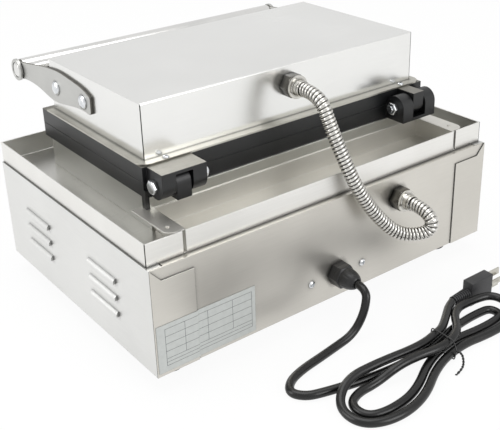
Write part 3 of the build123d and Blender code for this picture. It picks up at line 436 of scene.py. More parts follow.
# Plastic-covered wire: black, with one narrow highlight along each wire.
tie_plastic = surface(
    "pvc_covered_wire",
    ("#131313", "#242424"),
    patch=5,
    grain=0.5,
    relief=0.01,
    roughness=(0.28, 0.42),
    IOR=1.53,
)
loop_points = [
    (waist_x + 0.8, tie_far, waist_low + 3.0),
    (waist_x + 0.6, tie_far, tie_low + 0.2),
    (waist_x + 0.3, tie_far - 4.0, tie_low),
    (waist_x, tie_near + 4.0, tie_low),
    (waist_x, tie_near, tie_low + 0.2),
    (waist_x - 0.2, tie_near, tie_low + 5.0),
    (waist_x - 0.3, tie_near, tie_top - 3.0),
    (waist_x - 0.4, tie_near + 1.0, tie_top),
    (waist_x - 0.4, tie_near + 5.0, tie_top),
    (waist_x - 0.6, near_slots[0] + cord_low - 2.0, tie_top),
    (waist_x - 0.7, near_slots[0] + cord_low + 1.6, tie_top - 1.0),
    (waist_x - 0.8, tie_far - 1.5, waist_low + 6.5),
    (waist_x - 0.6, tie_far, waist_low + 4.0),
]
tie_loop = nurbs_line("cord_tie_loop", loop_points)
thicken(tie_loop, tie_wire / 1000, 3, tie_plastic)
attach(tie_loop, "base")

twist_points = [
    (waist_x - 0.5, tie_far, waist_low + 3.6),
    (waist_x - 1.0, tie_far + 5.0, waist_low + 5.5),
    (waist_x + 2.0, tie_far + 10.5, tie_low + 4.5),
    (waist_x + 8.0, tie_far + 13.6, tie_low + 1.6),
    (waist_x + 16.0, tie_far + 14.6, tie_low + 0.7),
]
twist_guide = nurbs_line("twist_guide", twist_points)
twist_line = line_points(twist_guide)
bpy.data.objects.remove(twist_guide)
twist_turns = 5
for strand in range(2):
    wound = []
    for i, place in enumerate(twist_line):
        along = twist_line[min(i + 1, len(twist_line) - 1)] - twist_line[max(i - 1, 0)]
        side = along.cross(Vector((0, 0, 1))).normalized()
        over = side.cross(along).normalized()
        angle = math.tau * twist_turns * i / (len(twist_line) - 1) + math.pi * strand
        wound.append((place + (side * math.cos(angle) + over * math.sin(angle)) * tie_wire / 1000) * 1000)
    tie_end = nurbs_line(f"cord_tie_end_{strand}", wound)
    tie_end.data.splines[0].resolution_u = 4
    thicken(tie_end, tie_wire / 1000, 3, tie_plastic)
    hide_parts("cord_tie")
    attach(tie_end, "base")


# Plug: a block of black PVC moulded over the cord's end, standing on its edge, with a slotted strain relief.
# Two flat brass blades and a round earth pin come out of its face.
plug_thick = 11.0
plug_height = 24.0
plug_length = 29.0
plug_step = 1.8
plug_shoulder = 2.4
plug_neck = 1.2


def millimetres(*values):
    """Lengths or a place in millimetres, as metres."""
    return tuple(v / 1000 for v in values)


def select_faces(mesh, keep):
    """In edit mode, selects just the faces that the test keeps."""
    for face in mesh.faces:
        face.select_set(keep(face))
    mesh.select_flush_mode()


def pick(piece):
    """Selects one piece alone and makes it the active one."""
    bpy.ops.object.select_all(action="DESELECT")
    piece.select_set(True)
    bpy.context.view_layer.objects.active = piece


def block(place, size, rotation=(0, 0, 0)):
    """A box to start a piece from, about a place and of a size in millimetres."""
    bpy.ops.object.select_all(action="DESELECT")
    bpy.ops.mesh.primitive_cube_add(size=1.0, location=millimetres(*place), rotation=rotation)
    piece = bpy.context.object
    piece.scale = millimetres(*size)
    bpy.ops.object.transform_apply(location=True, rotation=True, scale=True)
    return piece


def finish_piece(piece, name, material, smooth=30):
    """Puts a finished piece's place in its mesh, shades it and gives it its material."""
    pick(piece)
    bpy.ops.object.transform_apply(location=True, rotation=True, scale=True)
    bpy.ops.object.shade_smooth_by_angle(angle=math.radians(smooth))
    piece.name = name
    piece.data.materials.clear()
    piece.data.materials.append(material)
    piece.select_set(False)


def edit(piece):
    """Opens a piece in edit mode and gives its mesh."""
    pick(piece)
    bpy.ops.object.mode_set(mode="EDIT")
    return bmesh.from_edit_mesh(piece.data)


def add_bevel(piece, width, segments, angle=30):
    """Rounds a piece's edges by a width in millimetres."""
    bpy.context.view_layer.objects.active = piece
    rounding = piece.modifiers.new("rounding", "BEVEL")
    rounding.width = width / 1000
    rounding.segments = segments
    rounding.limit_method = "ANGLE"
    rounding.angle_limit = math.radians(angle)
    bpy.ops.object.modifier_apply(modifier=rounding.name)


def turned(place, axis, profile, sides=48):
    """A closed round solid from distances along an axis and the radii there, in millimetres."""
    axis = Vector(axis).normalized()
    start = Vector(place)
    bpy.ops.object.select_all(action="DESELECT")
    bpy.ops.mesh.primitive_circle_add(
        vertices=sides,
        radius=profile[0][1] / 1000,
        fill_type="NGON",
        location=(start + axis * profile[0][0]) / 1000,
        rotation=axis.to_track_quat("Z", "Y").to_euler(),
    )
    piece = bpy.context.object
    bpy.ops.object.transform_apply(location=True, rotation=True, scale=True)
    edit(piece)
    bpy.ops.mesh.select_all(action="SELECT")
    for (distance, radius), (next_distance, next_radius) in zip(profile, profile[1:]):
        bpy.ops.mesh.extrude_region_move(
            TRANSFORM_OT_translate={"value": axis * (next_distance - distance) / 1000}
        )
        bpy.ops.transform.resize(
            value=[next_radius / radius] * 3, center_override=(start + axis * next_distance) / 1000
        )
    bpy.ops.mesh.select_all(action="SELECT")
    bpy.ops.mesh.normals_make_consistent(inside=False)
    bpy.ops.object.mode_set(mode="OBJECT")
    return piece


# Moulded PVC: satin, and a little greyer than the rubber of the lead.
moulded_pvc = surface(
    "black_pvc_moulded",
    ("#202022", "#2e2e30"),
    patch=12,
    grain=0.5,
    relief=0.015,
    roughness=(0.42, 0.56),
    rounding=0.3,
    IOR=1.53,
)
plug_middle = (plug_face[0] - plug_length / 2, *plug_face[1:])
plug = block(plug_middle, (plug_length, plug_thick, plug_height))
mesh = edit(plug)
select_faces(mesh, lambda face: face.normal.x > 0.9)
bpy.ops.mesh.inset(thickness=plug_step / 1000)
bpy.ops.transform.translate(value=millimetres(plug_shoulder, 0, 0))
bpy.ops.mesh.extrude_region_move(TRANSFORM_OT_translate={"value": millimetres(plug_neck, 0, 0)})
bpy.ops.object.mode_set(mode="OBJECT")
add_bevel(plug, 0.9, 3)
finish_piece(plug, "plug_block", moulded_pvc)
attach(plug, "base")

relief_rings = 8
relief_radius = 5.3
relief_taper = 1.1
relief_groove = 0.8
relief_profile = [(0.0, relief_radius)]
for ring in range(relief_rings):
    along = relief_length * (ring + 0.2) / relief_rings
    radius = relief_radius - relief_taper * along / relief_length
    relief_profile += [(along, radius), (along + 1.4, radius)]
    relief_profile += [(along + 1.5, radius - relief_groove), (along + 2.0, radius - relief_groove)]
relief_profile += [(relief_length, cord_low + 0.4), (relief_length, cord_low - 0.2)]
strain_relief = turned(plug_face, Vector(relief_end) - Vector(plug_face), relief_profile, sides=32)
finish_piece(strain_relief, "plug_strain_relief", moulded_pvc)
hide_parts("plug_body")
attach(strain_relief, "base")

# Nickel plate on stamped brass: a pale, slightly warm metal with fine lines along the blades.
brass_prongs = surface(
    "nickel_plated_brass_stamped",
    ("#b9b6ad", "#d6d4cc"),
    patch=6,
    grain=0.4,
    relief=0.004,
    roughness=(0.16, 0.28),
    stretch=(8, 1, 1),
    rounding=0.2,
    Metallic=1.0,
)
dress(brass_prongs, "plug_prongs")


# Housing: panels of 1 mm stainless steel, brushed along their length, folded and spot welded into a box.
# The side panels have pressed louvres and are folded round onto the back.
housing_corner = (190, 127)
wrap_from = 0.12
# Brushed stainless steel: highlights drawn out along the brushing, painted shade in the corners, dark rear
# joints.
brushed_sheet = dict(grain=0.5, relief=0.001, roughness=(0.3, 0.36), rounding=0.6, seam=5, Metallic=1.0)
# One steel in two tones: the darker, on the back, front and wraps, is a painted shade; the paler, on the
# sides, a painted light.
housing_steel_along_x = surface(
    "stainless_steel_brushed_along_width",
    ("#cbc8c1", "#d5d2cb"),
    patch=90,
    stretch=(60, 1, 1),
    **brushed_sheet,
)
housing_steel_along_y = surface(
    "stainless_steel_brushed_along_depth",
    ("#dadad8", "#e3e3e1"),
    patch=110,
    stretch=(1, 60, 1),
    joint=housing_corner,
    **brushed_sheet,
)
dress(housing_steel_along_y, "left_side_panel", "right_side_panel")
dress(housing_steel_along_x, "front_panel", "back_panel")
for name in ("left_side_panel", "right_side_panel"):
    dress_faces(housing_steel_along_x, name, lambda face: face.normal.y > 0.5 and face.center.y > wrap_from)

# Bottom tray: one folded sheet of galvanised steel with vent slots, which closes the housing from below. Its
# zinc is spangled and dull.
galvanised_sheet = surface(
    "galvanised_steel_spangled",
    ("#8f9294", "#b3b6b8"),
    patch=9,
    grain=2.0,
    relief=0.003,
    roughness=(0.38, 0.55),
    rounding=0.5,
    Metallic=1.0,
)
dress(galvanised_sheet, "bottom_plate")


# Deck pan, pedestal and drip trough: stainless steel with a finer, brighter finish, folded and spot welded.
# The trough hangs by its end flanges, each held by a rivet.
# Satin stainless steel: a soft grey sheen. The darker copies down in the deck, on the pedestal and on the
# trough are painted shade, and the rim's inner corners carry a painted shade too.
rim_corner = (188.5, 120.3)
satin_sheet = dict(grain=0.5, relief=0.001, Metallic=1.0)
rim_steel = surface(
    "stainless_steel_satin_rim",
    ("#e4e3df", "#eeedea"),
    patch=80,
    roughness=(0.34, 0.42),
    stretch=(60, 1, 1),
    rounding=0.5,
    seam=4,
    joint=rim_corner,
    **satin_sheet,
)
deck_steel = surface(
    "stainless_steel_satin_deck",
    ("#c9c8c4", "#d5d4d0"),
    patch=60,
    roughness=(0.27, 0.34),
    stretch=(60, 1, 1),
    rounding=1.4,
    **satin_sheet,
)
pedestal_steel = surface(
    "stainless_steel_satin_pedestal",
    ("#c9c9c4", "#d3d3ce"),
    patch=70,
    roughness=(0.3, 0.36),
    stretch=(60, 60, 1),
    rounding=1.2,
    **satin_sheet,
)
trough_steel = surface(
    "stainless_steel_satin_trough",
    ("#cdcbc5", "#d8d6d0"),
    patch=70,
    roughness=(0.4, 0.48),
    stretch=(60, 1, 1),
    rounding=1.4,
    **satin_sheet,
)
pan_low, pan_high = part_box("deck_pan")
inside = 0.0015
half_inside = inside / 2
dress(rim_steel, "deck_pan")
# The pan's inner faces take the darker deck steel: a painted shade down inside the rim.
dress_faces(
    deck_steel,
    "deck_pan",
    lambda face: abs(face.center.x) < pan_high[0] - half_inside
    and pan_low[1] + half_inside < face.center.y < pan_high[1] - inside
    and face.center.z < pan_high[2] - half_inside,
)
dress(pedestal_steel, "pedestal_box")
dress(trough_steel, "drip_trough", "trough_rivets")
trough_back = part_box("drip_trough")[1][1]
# The trough's back faces take the paler rim steel: a painted light on its back.
dress_faces(
    rim_steel, "drip_trough", lambda face: face.normal.y > 0.9 and face.center.y > trough_back - inside
)


# Moulds: two aluminium castings with a sprayed black non-stick coating baked on, which leaves a fine pebbled
# skin with a soft grey sheen. The upper casting's flat top faces are a paler grey metal than its coated
# sides.
non_stick_coating = surface(
    "cast_aluminium_non_stick_coated",
    ("#0b0c0d", "#151617"),
    patch=35,
    grain=0.9,
    relief=0.02,
    roughness=(0.3, 0.4),
    rounding=0.7,
    IOR=1.5,
)
pale_top_metal = surface(
    "cast_aluminium_pale_top_faces",
    ("#7c7a74", "#918f88"),
    patch=20,
    grain=0.7,
    relief=0.003,
    roughness=(0.34, 0.44),
    stretch=(20, 1, 1),
    rounding=0.5,
    Metallic=1.0,
)
dress(non_stick_coating, "lower_mould", "upper_mould")
casting_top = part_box("upper_mould")[1][2]
flat_within = 0.5 / 1000
dress_faces(
    pale_top_metal,
    "upper_mould",
    lambda face: face.normal.z > 0.99 and face.center.z > casting_top - flat_within,
)

# Hinge bolts: two 8 mm bolts of bright zinc-plated steel are the pins that the lid turns on. Their heads are
# outermost, with a nut on each rolled thread. Heads and nuts are drawn smaller than the solids they replace.
pin_x = 132.0
pin_y = 81.75
pin_z = 158.0
fork_outer = 21.3
bolt_flats = 10.6
pin_radius = 4.0
bolt_head = 4.0
nut_height = 5.4
thread_pitch = 1.25
thread_start = 30.0
bolt_length = 49.6
bore_radius = pin_radius + 0.05
# Zinc plate: bright and faintly blue, with small sharp highlights.
zinc_plate = surface(
    "bright_zinc_plated_steel",
    ("#cfd2d5", "#e6e8ea"),
    patch=5,
    grain=0.4,
    relief=0.002,
    roughness=(0.16, 0.26),
    Metallic=1.0,
)


def combine(piece, tool, operation):
    """Joins or cuts a piece with another solid, which is used up."""
    pick(piece)
    cut = piece.modifiers.new("cut", "BOOLEAN")
    cut.operation = operation
    cut.solver = "EXACT"
    cut.object = tool
    bpy.ops.object.modifier_apply(modifier=cut.name)
    bpy.data.objects.remove(tool)


def hexagon(place, axis, flats, height):
    """A hexagon prism along an axis, its far face chamfered to a cone, all in millimetres."""
    axis = Vector(axis).normalized()
    facing = axis.to_track_quat("Z", "Y") @ Quaternion((0, 0, 1), math.radians(30))
    corner = flats / math.sqrt(3)
    flat_top = 0.47 * flats
    bpy.ops.object.select_all(action="DESELECT")
    bpy.ops.mesh.primitive_cylinder_add(
        vertices=6,
        radius=corner / 1000,
        depth=height / 1000,
        location=(Vector(place) + axis * height / 2) / 1000,
        rotation=facing.to_euler(),
    )
    piece = bpy.context.object
    bpy.ops.object.transform_apply(location=True, rotation=True, scale=True)
    drop = (corner + 1 - flat_top) * math.tan(math.radians(28))
    cone_profile = [(-1, corner + 1), (height - drop, corner + 1), (height - 0.02, flat_top)]
    cone = turned(place, axis, cone_profile, sides=72)
    combine(piece, cone, "INTERSECT")
    add_bevel(piece, 0.18, 2, angle=25)
    return piece


def bored_nut(place, axis, flats, height, bore, sides=48):
    """A hexagon nut with a plain bore."""
    nut = hexagon(place, axis, flats, height)
    combine(nut, turned(place, axis, [(-1, bore), (height + 1, bore)], sides), "DIFFERENCE")
    return nut


def thread(start, end, radius, pitch):
    """The profile of a thread's crests and roots between two distances."""
    profile = []
    for turn in range(int((end - start) / pitch)):
        low = start + turn * pitch
        profile += [(low, radius), (low + 0.3 * pitch, radius), (low + 0.65 * pitch, radius - 0.5 * pitch)]
    return profile


for side, end in ((-1, "left"), (1, "right")):
    head_place = (side * (pin_x + fork_outer), pin_y, pin_z)
    bolt = hexagon(head_place, (side, 0, 0), bolt_flats, bolt_head)
    shank = [(-0.5, pin_radius)] + thread(thread_start, bolt_length - 1.0, pin_radius, thread_pitch)
    shank += [(bolt_length, pin_radius - 0.9)]
    combine(bolt, turned(head_place, (-side, 0, 0), shank), "UNION")
    finish_piece(bolt, f"hinge_bolt_{end}", zinc_plate)
    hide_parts("hinge_bolts")
    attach(bolt, "base")

    nut_place = (side * (pin_x - fork_outer), pin_y, pin_z)
    nut = bored_nut(nut_place, (-side, 0, 0), bolt_flats, nut_height, bore_radius)
    finish_piece(nut, f"hinge_nut_{end}", zinc_plate)
    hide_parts("hinge_nuts")
    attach(nut, "base")
dress(zinc_plate, "foot_screws", "terminal_screws", "earth_stud")
dress(zinc_plate, "conduit_lid_locknut", "conduit_base_locknut")


# Lid cover and its flange plate: polished stainless steel with the faintest brushing. The cover is folded
# into a box and its flange is screwed to the upper casting.
lid_corner = (149.5, 61.7)
lid_steel = surface(
    "stainless_steel_polished_lid",
    ("#e9e9e7", "#efefed"),
    patch=120,
    grain=0.5,
    relief=0.0008,
    roughness=(0.22, 0.28),
    stretch=(60, 1, 1),
    rounding=0.4,
    joint=lid_corner,
    Metallic=1.0,
)
# Mill finish: duller and warmer than the polished cover above it, with a painted shade in its inner corners.
flange_steel = surface(
    "stainless_steel_mill_finish",
    ("#b3b1a8", "#c4c2ba"),
    patch=30,
    grain=0.6,
    relief=0.002,
    roughness=(0.3, 0.42),
    stretch=(30, 1, 1),
    rounding=0.3,
    seam=3,
    Metallic=1.0,
)
dress(lid_steel, "lid_cover")
dress(flange_steel, "lid_flange")

# Screws of the lid's flange: zinc-plated steel, with pan heads and a cross recess. They go down through the
# plate's rear corners.
flange_top = 172.5
flange_screw_places = [(-132.5, 67.05), (132.5, 67.05)]


def dome(radius, rim, rise):
    """The profile of a domed head: a short rim and a round top."""
    steps = 8
    profile = [(0.0, radius), (rim, radius)]
    for i in range(1, steps + 1):
        angle = math.pi / 2 * i / (steps + 0.2)
        profile.append((rim + (rise - rim) * math.sin(angle), radius * math.cos(angle)))
    return profile


def cross_recess(head, top, axis, span, depth):
    """Cuts a cross into the top of a screw's head."""
    facing = Vector(axis).to_track_quat("Z", "Y")
    for turn in (20, 110):
        turned_by = facing @ Quaternion((0, 0, 1), math.radians(turn))
        cutter = block(top, (span, 0.24 * span, 2 * depth), turned_by.to_euler())
        combine(head, cutter, "DIFFERENCE")


def pan_head(name, place, axis, radius, rise, span, depth):
    """A domed screw head on a face, with a cross recess of a span and a depth."""
    screw = turned(place, axis, dome(radius, 0.4, rise), sides=32)
    cross_recess(screw, [p + rise * a for p, a in zip(place, axis)], axis, span, depth)
    finish_piece(screw, name, zinc_plate)
    return screw


for index, (x, y) in enumerate(flange_screw_places):
    screw = pan_head(
        f"flange_screw_{index}", (x, y, flange_top), (0, 0, 1), radius=2.6, rise=1.6, span=3.0, depth=0.9
    )
    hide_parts("flange_screws")
    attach(screw, "lid")


# Handle: two plates of stainless steel cut by laser to a curve, with dark edges, and a polished tube between
# them. A cap closes each end of the tube, and two domed bolts hold each plate on the lid.
# The plates look satin, their cut edges dark and rough, and the tube nearly mirror-bright; plates and edges
# carry a painted shade where they lie close to the lid.
handle_plate = surface(
    "stainless_steel_brushed_handle_plate",
    ("#b8b8b5", "#c4c4c1"),
    patch=40,
    grain=0.5,
    relief=0.001,
    roughness=(0.28, 0.36),
    stretch=(1, 40, 1),
    seam=2,
    Metallic=1.0,
)
laser_cut_edge = surface(
    "stainless_steel_laser_cut_edge",
    ("#77756f", "#918f89"),
    patch=6,
    grain=0.3,
    relief=0.02,
    roughness=(0.45, 0.6),
    stretch=(8, 1, 1),
    seam=3,
    Metallic=1.0,
)
handle_tube = surface(
    "stainless_steel_polished_tube",
    ("#dededc", "#eae9e7"),
    patch=60,
    grain=0.5,
    relief=0.0008,
    roughness=(0.12, 0.2),
    stretch=(60, 1, 1),
    Metallic=1.0,
)
dress(handle_plate, "left_handle_arm", "right_handle_arm")
dress(handle_tube, "handle_bar")
arm_face = 152.0
bar_y = -162.0
bar_z = 194.0
arm_screw_places = [(-81.8, 196.0), (-31.3, 196.6)]
arm_bolt_radius = 6.2
arm_bolt_rise = 3.0
ring_profile = [(0, 9.9), (0.3, 10.5), (2.5, 10.5), (3.0, 10.0), (3.0, 7.5), (2.7, 7.2), (0.6, 7.2)]
disc_profile = [(0.6, 6.9), (2.4, 6.9), (2.8, 6.2), (3.0, 4.6), (3.05, 0.3)]
for side, end in ((-1, "left"), (1, "right")):
    dress_faces(laser_cut_edge, f"{end}_handle_arm", lambda face: abs(face.normal.x) < 0.5)
    cap = turned((side * arm_face, bar_y, bar_z), (side, 0, 0), ring_profile)
    finish_piece(cap, f"bar_cap_ring_{end}", handle_plate)
    disc = turned((side * arm_face, bar_y, bar_z), (side, 0, 0), disc_profile)
    finish_piece(disc, f"bar_cap_disc_{end}", handle_tube)
    for piece in (cap, disc):
        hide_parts("bar_caps")
        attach(piece, "lid")
    for index, (y, z) in enumerate(arm_screw_places):
        bolt = turned((side * arm_face, y, z), (side, 0, 0), dome(arm_bolt_radius, 0.6, arm_bolt_rise))
        finish_piece(bolt, f"arm_bolt_{end}_{index}", zinc_plate)
        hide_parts("arm_screws")
        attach(bolt, "lid")


# Conduit: a strip of stainless steel wound into a ribbed hose, 12.6 mm over its ribs, which carries the wires
# of the lid's element. Each end is pressed into a nickel-plated brass fitting with a hexagon nut. The hose
# stays clear of the back.
hose_crest = 6.3
hose_root = 5.0
hose_pitch = 3.3
hose_sides = 36
fitting_length = 19.0
lid_port = (0, 61.7, 202)
base_port = (-73, 126, 93.5)
lid_mouth = (lid_port[0], lid_port[1] + fitting_length, lid_port[2])
base_mouth = (base_port[0], base_port[1] + fitting_length, base_port[2])
hose_points = [
    lid_mouth,
    (0, 102, 202),
    (-1, 113, 180),
    (-5, 123, 156),
    (-13, 133, 126),
    (-30, 141, 95),
    (-50, 153, 72),
    (-72, 171, 76),
    (-73, 166, 93.5),
    base_mouth,
]
rib_profile = []
rib_rise = hose_crest - hose_root
rib_half = 0.43
rib_fullness = 0.7
rib_steps = 9
for i in range(rib_steps + 1):
    angle = math.pi * i / rib_steps
    height = hose_root + rib_rise * math.sin(angle) ** rib_fullness
    rib_profile.append((0.5 - rib_half * math.cos(angle), height))
hose_guide = nurbs_line("hose_guide", hose_points)
hose_guide.data.splines[0].resolution_u = 40
hose_line = line_points(hose_guide)
bpy.data.objects.remove(hose_guide)
travelled = [0.0]
for a, b in zip(hose_line, hose_line[1:]):
    travelled.append(travelled[-1] + (b - a).length)
hose_length = travelled[-1]
hose_frames = []
sideways = Vector((1, 0, 0))
for i, place in enumerate(hose_line):
    along = (hose_line[min(i + 1, len(hose_line) - 1)] - hose_line[max(i - 1, 0)]).normalized()
    sideways = (sideways - along * sideways.dot(along)).normalized()
    hose_frames.append((place, sideways.copy(), along.cross(sideways)))


def hose_place(distance, angle, radius):
    """A point on the hose, a distance along it and an angle round it."""
    distance = min(max(distance, 0.0), hose_length)
    i = 1
    while i < len(travelled) - 1 and travelled[i] < distance:
        i += 1
    share = (distance - travelled[i - 1]) / (travelled[i] - travelled[i - 1])
    start, end = hose_frames[i - 1], hose_frames[i]
    place, side, over = (start[j].lerp(end[j], share) for j in range(3))
    return place + (side * math.cos(angle) + over * math.sin(angle)) * radius


turns = round(hose_length * 1000 / hose_pitch)
pitch = hose_length / turns
hose_rings = []
for turn in range(-1, turns + 1):
    for share, radius in rib_profile:
        hose_rings.append((turn + share, radius))
places = []
faces = []
columns = hose_sides + 1
for start, radius in hose_rings:
    for column in range(columns):
        distance = (start + column / hose_sides) * pitch
        ended = distance <= 0 or distance >= hose_length
        size = (hose_root if ended else radius) / 1000
        places.append(hose_place(distance, math.tau * column / hose_sides, size))
for ring in range(len(hose_rings) - 1):
    for column in range(hose_sides):
        corner = ring * columns + column
        faces.append((corner, corner + 1, corner + columns + 1, corner + columns))
hose_mesh = bpy.data.meshes.new("conduit_hose")
hose_mesh.from_pydata([tuple(p) for p in places], [], faces)
conduit_hose = bpy.data.objects.new("conduit_hose", hose_mesh)
bpy.context.scene.collection.objects.link(conduit_hose)
edit(conduit_hose)
bpy.ops.mesh.select_all(action="SELECT")
bpy.ops.mesh.remove_doubles(threshold=0.02 / 1000)
bpy.ops.mesh.dissolve_degenerate(threshold=0.01 / 1000)
bpy.ops.mesh.select_all(action="DESELECT")
mesh = bmesh.from_edit_mesh(conduit_hose.data)
for rim in [e for e in mesh.edges if e.is_boundary]:
    rim.select_set(True)
bpy.ops.mesh.edge_face_add()
bpy.ops.mesh.select_all(action="SELECT")
bpy.ops.mesh.normals_make_consistent(inside=False)
bpy.ops.object.mode_set(mode="OBJECT")
# Wound strip: each rib catches a bright line, and a painted shade darkens the grooves between the ribs.
wound_steel = surface(
    "stainless_steel_strip_wound",
    ("#c6c4bf", "#dcdad5"),
    patch=12,
    grain=0.5,
    relief=0.0005,
    roughness=(0.12, 0.2),
    seam=2.5,
    Metallic=1.0,
)
finish_piece(conduit_hose, "conduit_hose", wound_steel, smooth=50)
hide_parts("conduit")
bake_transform(conduit_hose)
# Nickel plate: bright on the turned rings. The nuts take a darker copy, a painted reflection of the shaded
# sheet behind them, and both darken near other parts in a painted shade.
nickel = dict(patch=10, grain=0.4, relief=0.002, roughness=(0.14, 0.22), Metallic=1.0)
bright_nickel = surface("nickel_plated_brass_turned", ("#c4c2bc", "#dcdad4"), seam=2, **nickel)
shaded_nickel = surface("nickel_plated_brass_painted_shade", ("#5b5955", "#74726d"), seam=6, **nickel)
nut_long = 10.2
nut_bore = 7.0
fitting_flats = 19.0
fitting_profile = thread(-6.0, -0.5, 6.0, 1.0) + [
    (0.0, 6.0),
    (0.1, nut_bore - 0.05),
    (nut_long, nut_bore - 0.05),
    (nut_long + 0.05, 10.0),
    (10.6, 10.4),
    (11.6, 10.4),
    (12.0, 10.0),
    (12.05, 8.0),
    (12.5, 7.4),
    (13.2, 7.2),
    (16.6, 7.2),
    (16.8, 6.8),
    (17.3, 6.8),
    (17.5, 7.2),
    (18.7, 7.1),
    (19.0, 6.8),
    (19.02, 5.4),
]
fittings = [
    ("conduit_lid_fitting", lid_port, "lid", "conduit_lid_nut"),
    ("conduit_base_fitting", base_port, "base", "conduit_base_nut"),
]
for name, place, body, replaced in fittings:
    ferrule = turned(place, (0, 1, 0), fitting_profile, sides=64)
    finish_piece(ferrule, f"{name}_ferrule", bright_nickel)
    nut = bored_nut(place, (0, 1, 0), fitting_flats, nut_long, nut_bore, sides=64)
    finish_piece(nut, f"{name}_nut", shaded_nickel)
    for piece in (ferrule, nut):
        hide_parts(replaced)
        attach(piece, body)


# Cable gland: black nylon, moulded. A hexagon body is screwed through the back panel against its locknut,
# and a fluted dome nut closes on the lead.
# Moulded nylon: black with a satin sheen and soft edges.
black_nylon = surface(
    "black_nylon_moulded",
    ("#101011", "#1b1b1c"),
    patch=10,
    grain=0.4,
    relief=0.008,
    roughness=(0.34, 0.46),
    rounding=0.5,
    IOR=1.53,
)
dress(black_nylon, "gland_body", "gland_locknut")
gland_nut_place = (0, 132, 42)
gland_profile = [
    (5.0, 9.2),
    (6.4, 9.4),
    (9.0, 9.3),
    (12.0, 8.9),
    (14.5, 8.2),
    (16.6, 7.3),
    (18.4, 6.2),
    (19.5, 5.3),
    (20.0, 4.6),
    (19.9, 4.1),
    (18.0, 3.9),
]
gland_flats = 20.0
gland_hexagon = 6.2
gland_dome = hexagon(gland_nut_place, (0, 1, 0), gland_flats, gland_hexagon)
combine(gland_dome, turned(gland_nut_place, (0, 1, 0), gland_profile, sides=64), "UNION")
flute_count = 12
flute_foot = 10.3
flute_tip = 7.6
flute_y = (141.5, 153.0)
flute_profile = [(0, 1.3), (12, 1.0)]
for i in range(flute_count):
    angle = math.tau * (i + 0.5) / flute_count
    across, upwards = math.cos(angle), math.sin(angle)
    foot = (flute_foot * across, flute_y[0], gland_nut_place[2] + flute_foot * upwards)
    tip = (flute_tip * across, flute_y[1], gland_nut_place[2] + flute_tip * upwards)
    flute = turned(foot, Vector(tip) - Vector(foot), flute_profile, sides=16)
    combine(gland_dome, flute, "DIFFERENCE")
finish_piece(gland_dome, "gland_dome_nut", black_nylon)
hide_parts("gland_dome")
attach(gland_dome, "base")

# Screws beside the gland: two of zinc-plated steel, with pan heads and a cross recess. They go through the
# back panel.
back_screw_places = [(-30, 126, 41), (30, 126, 41)]
for index, place in enumerate(back_screw_places):
    screw = pan_head(f"back_screw_{index}", place, (0, 1, 0), radius=3.4, rise=2.0, span=3.8, depth=1.1)
    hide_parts("back_screws")
    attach(screw, "base")


# Rating plate: a white polyester label printed with a ruled table whose fields are empty, and stuck over the
# edge where the side panel is folded onto the back.
label_film, tree = new_material("white_polyester_label_printed")
ruled_x = [95.7, 115.2, 139.7, 162.2, 180.7]
ruled_z = [26.2, 29.4, 32.6, 39.5, 46.4, 53.3, 60.2]
rule_half = 0.2
short_rules = ruled_z[2]
fibre_scale = 260.0
place = add_node(tree, "ShaderNodeTexCoord")
axes = add_node(tree, "ShaderNodeSeparateXYZ", {0: place.outputs["Object"]})


def either(a, b):
    """Where either mask is set."""
    return add_node(tree, "ShaderNodeMath", {0: a, 1: b}, operation="MAXIMUM").outputs[0]


def within(axis, low, high):
    """Where an axis lies between two limits in millimetres."""
    middle = (low + high) / 2000
    return add_node(
        tree,
        "ShaderNodeMath",
        {0: axes.outputs[axis], 1: middle, 2: (high - low) / 2000},
        operation="COMPARE",
    ).outputs[0]


def both(a, b):
    """Where both masks are set."""
    return add_node(tree, "ShaderNodeMath", {0: a, 1: b}, operation="MULTIPLY").outputs[0]


def rules(axis, stations):
    """Where a rule is printed across an axis at any of the stations."""
    mask = within(axis, stations[0] - rule_half, stations[0] + rule_half)
    for at in stations[1:]:
        mask = either(mask, within(axis, at - rule_half, at + rule_half))
    return mask


field_rules = both(rules("X", ruled_x[1:-1]), within("Z", short_rules, ruled_z[-1]))
upright_rules = either(rules("X", [ruled_x[0], ruled_x[-1]]), field_rules)
upright_rules = both(upright_rules, within("Z", ruled_z[0] - rule_half, ruled_z[-1] + rule_half))
level_rules = both(rules("Z", ruled_z), within("X", ruled_x[0], ruled_x[-1]))
ink = either(upright_rules, level_rules)
fibre = add_node(
    tree, "ShaderNodeTexNoise", {"Vector": place.outputs["Object"], "Scale": fibre_scale, "Detail": 3.0}
)
film = add_node(tree, "ShaderNodeValToRGB", {"Fac": fibre.outputs["Fac"]})
film.color_ramp.elements[0].color = linear("#b0b3b1")
film.color_ramp.elements[1].color = linear("#c2c5c3")
printed = add_node(
    tree, "ShaderNodeMix", {0: ink, 6: film.outputs[0], 7: linear("#5b5f60")}, data_type="RGBA"
)
skin = add_node(
    tree, "ShaderNodeBump", {"Height": fibre.outputs["Fac"], "Strength": 0.15, "Distance": 0.0001}
)
label = add_node(
    tree,
    "ShaderNodeBsdfPrincipled",
    {"Base Color": printed.outputs[2], "Roughness": 0.42, "Normal": skin.outputs[0]},
)
add_node(tree, "ShaderNodeOutputMaterial", {"Surface": label.outputs[0]})
dress(label_film, "rating_plate")


# Feet: four of black rubber, moulded, each held by a screw through its middle. The rubber is dull and a very
# dark grey.
foot_rubber = surface(
    "black_rubber_moulded",
    ("#161616", "#232323"),
    patch=8,
    grain=0.6,
    relief=0.03,
    roughness=(0.55, 0.72),
    rounding=0.5,
    IOR=1.5,
)
dress(foot_rubber, "feet")


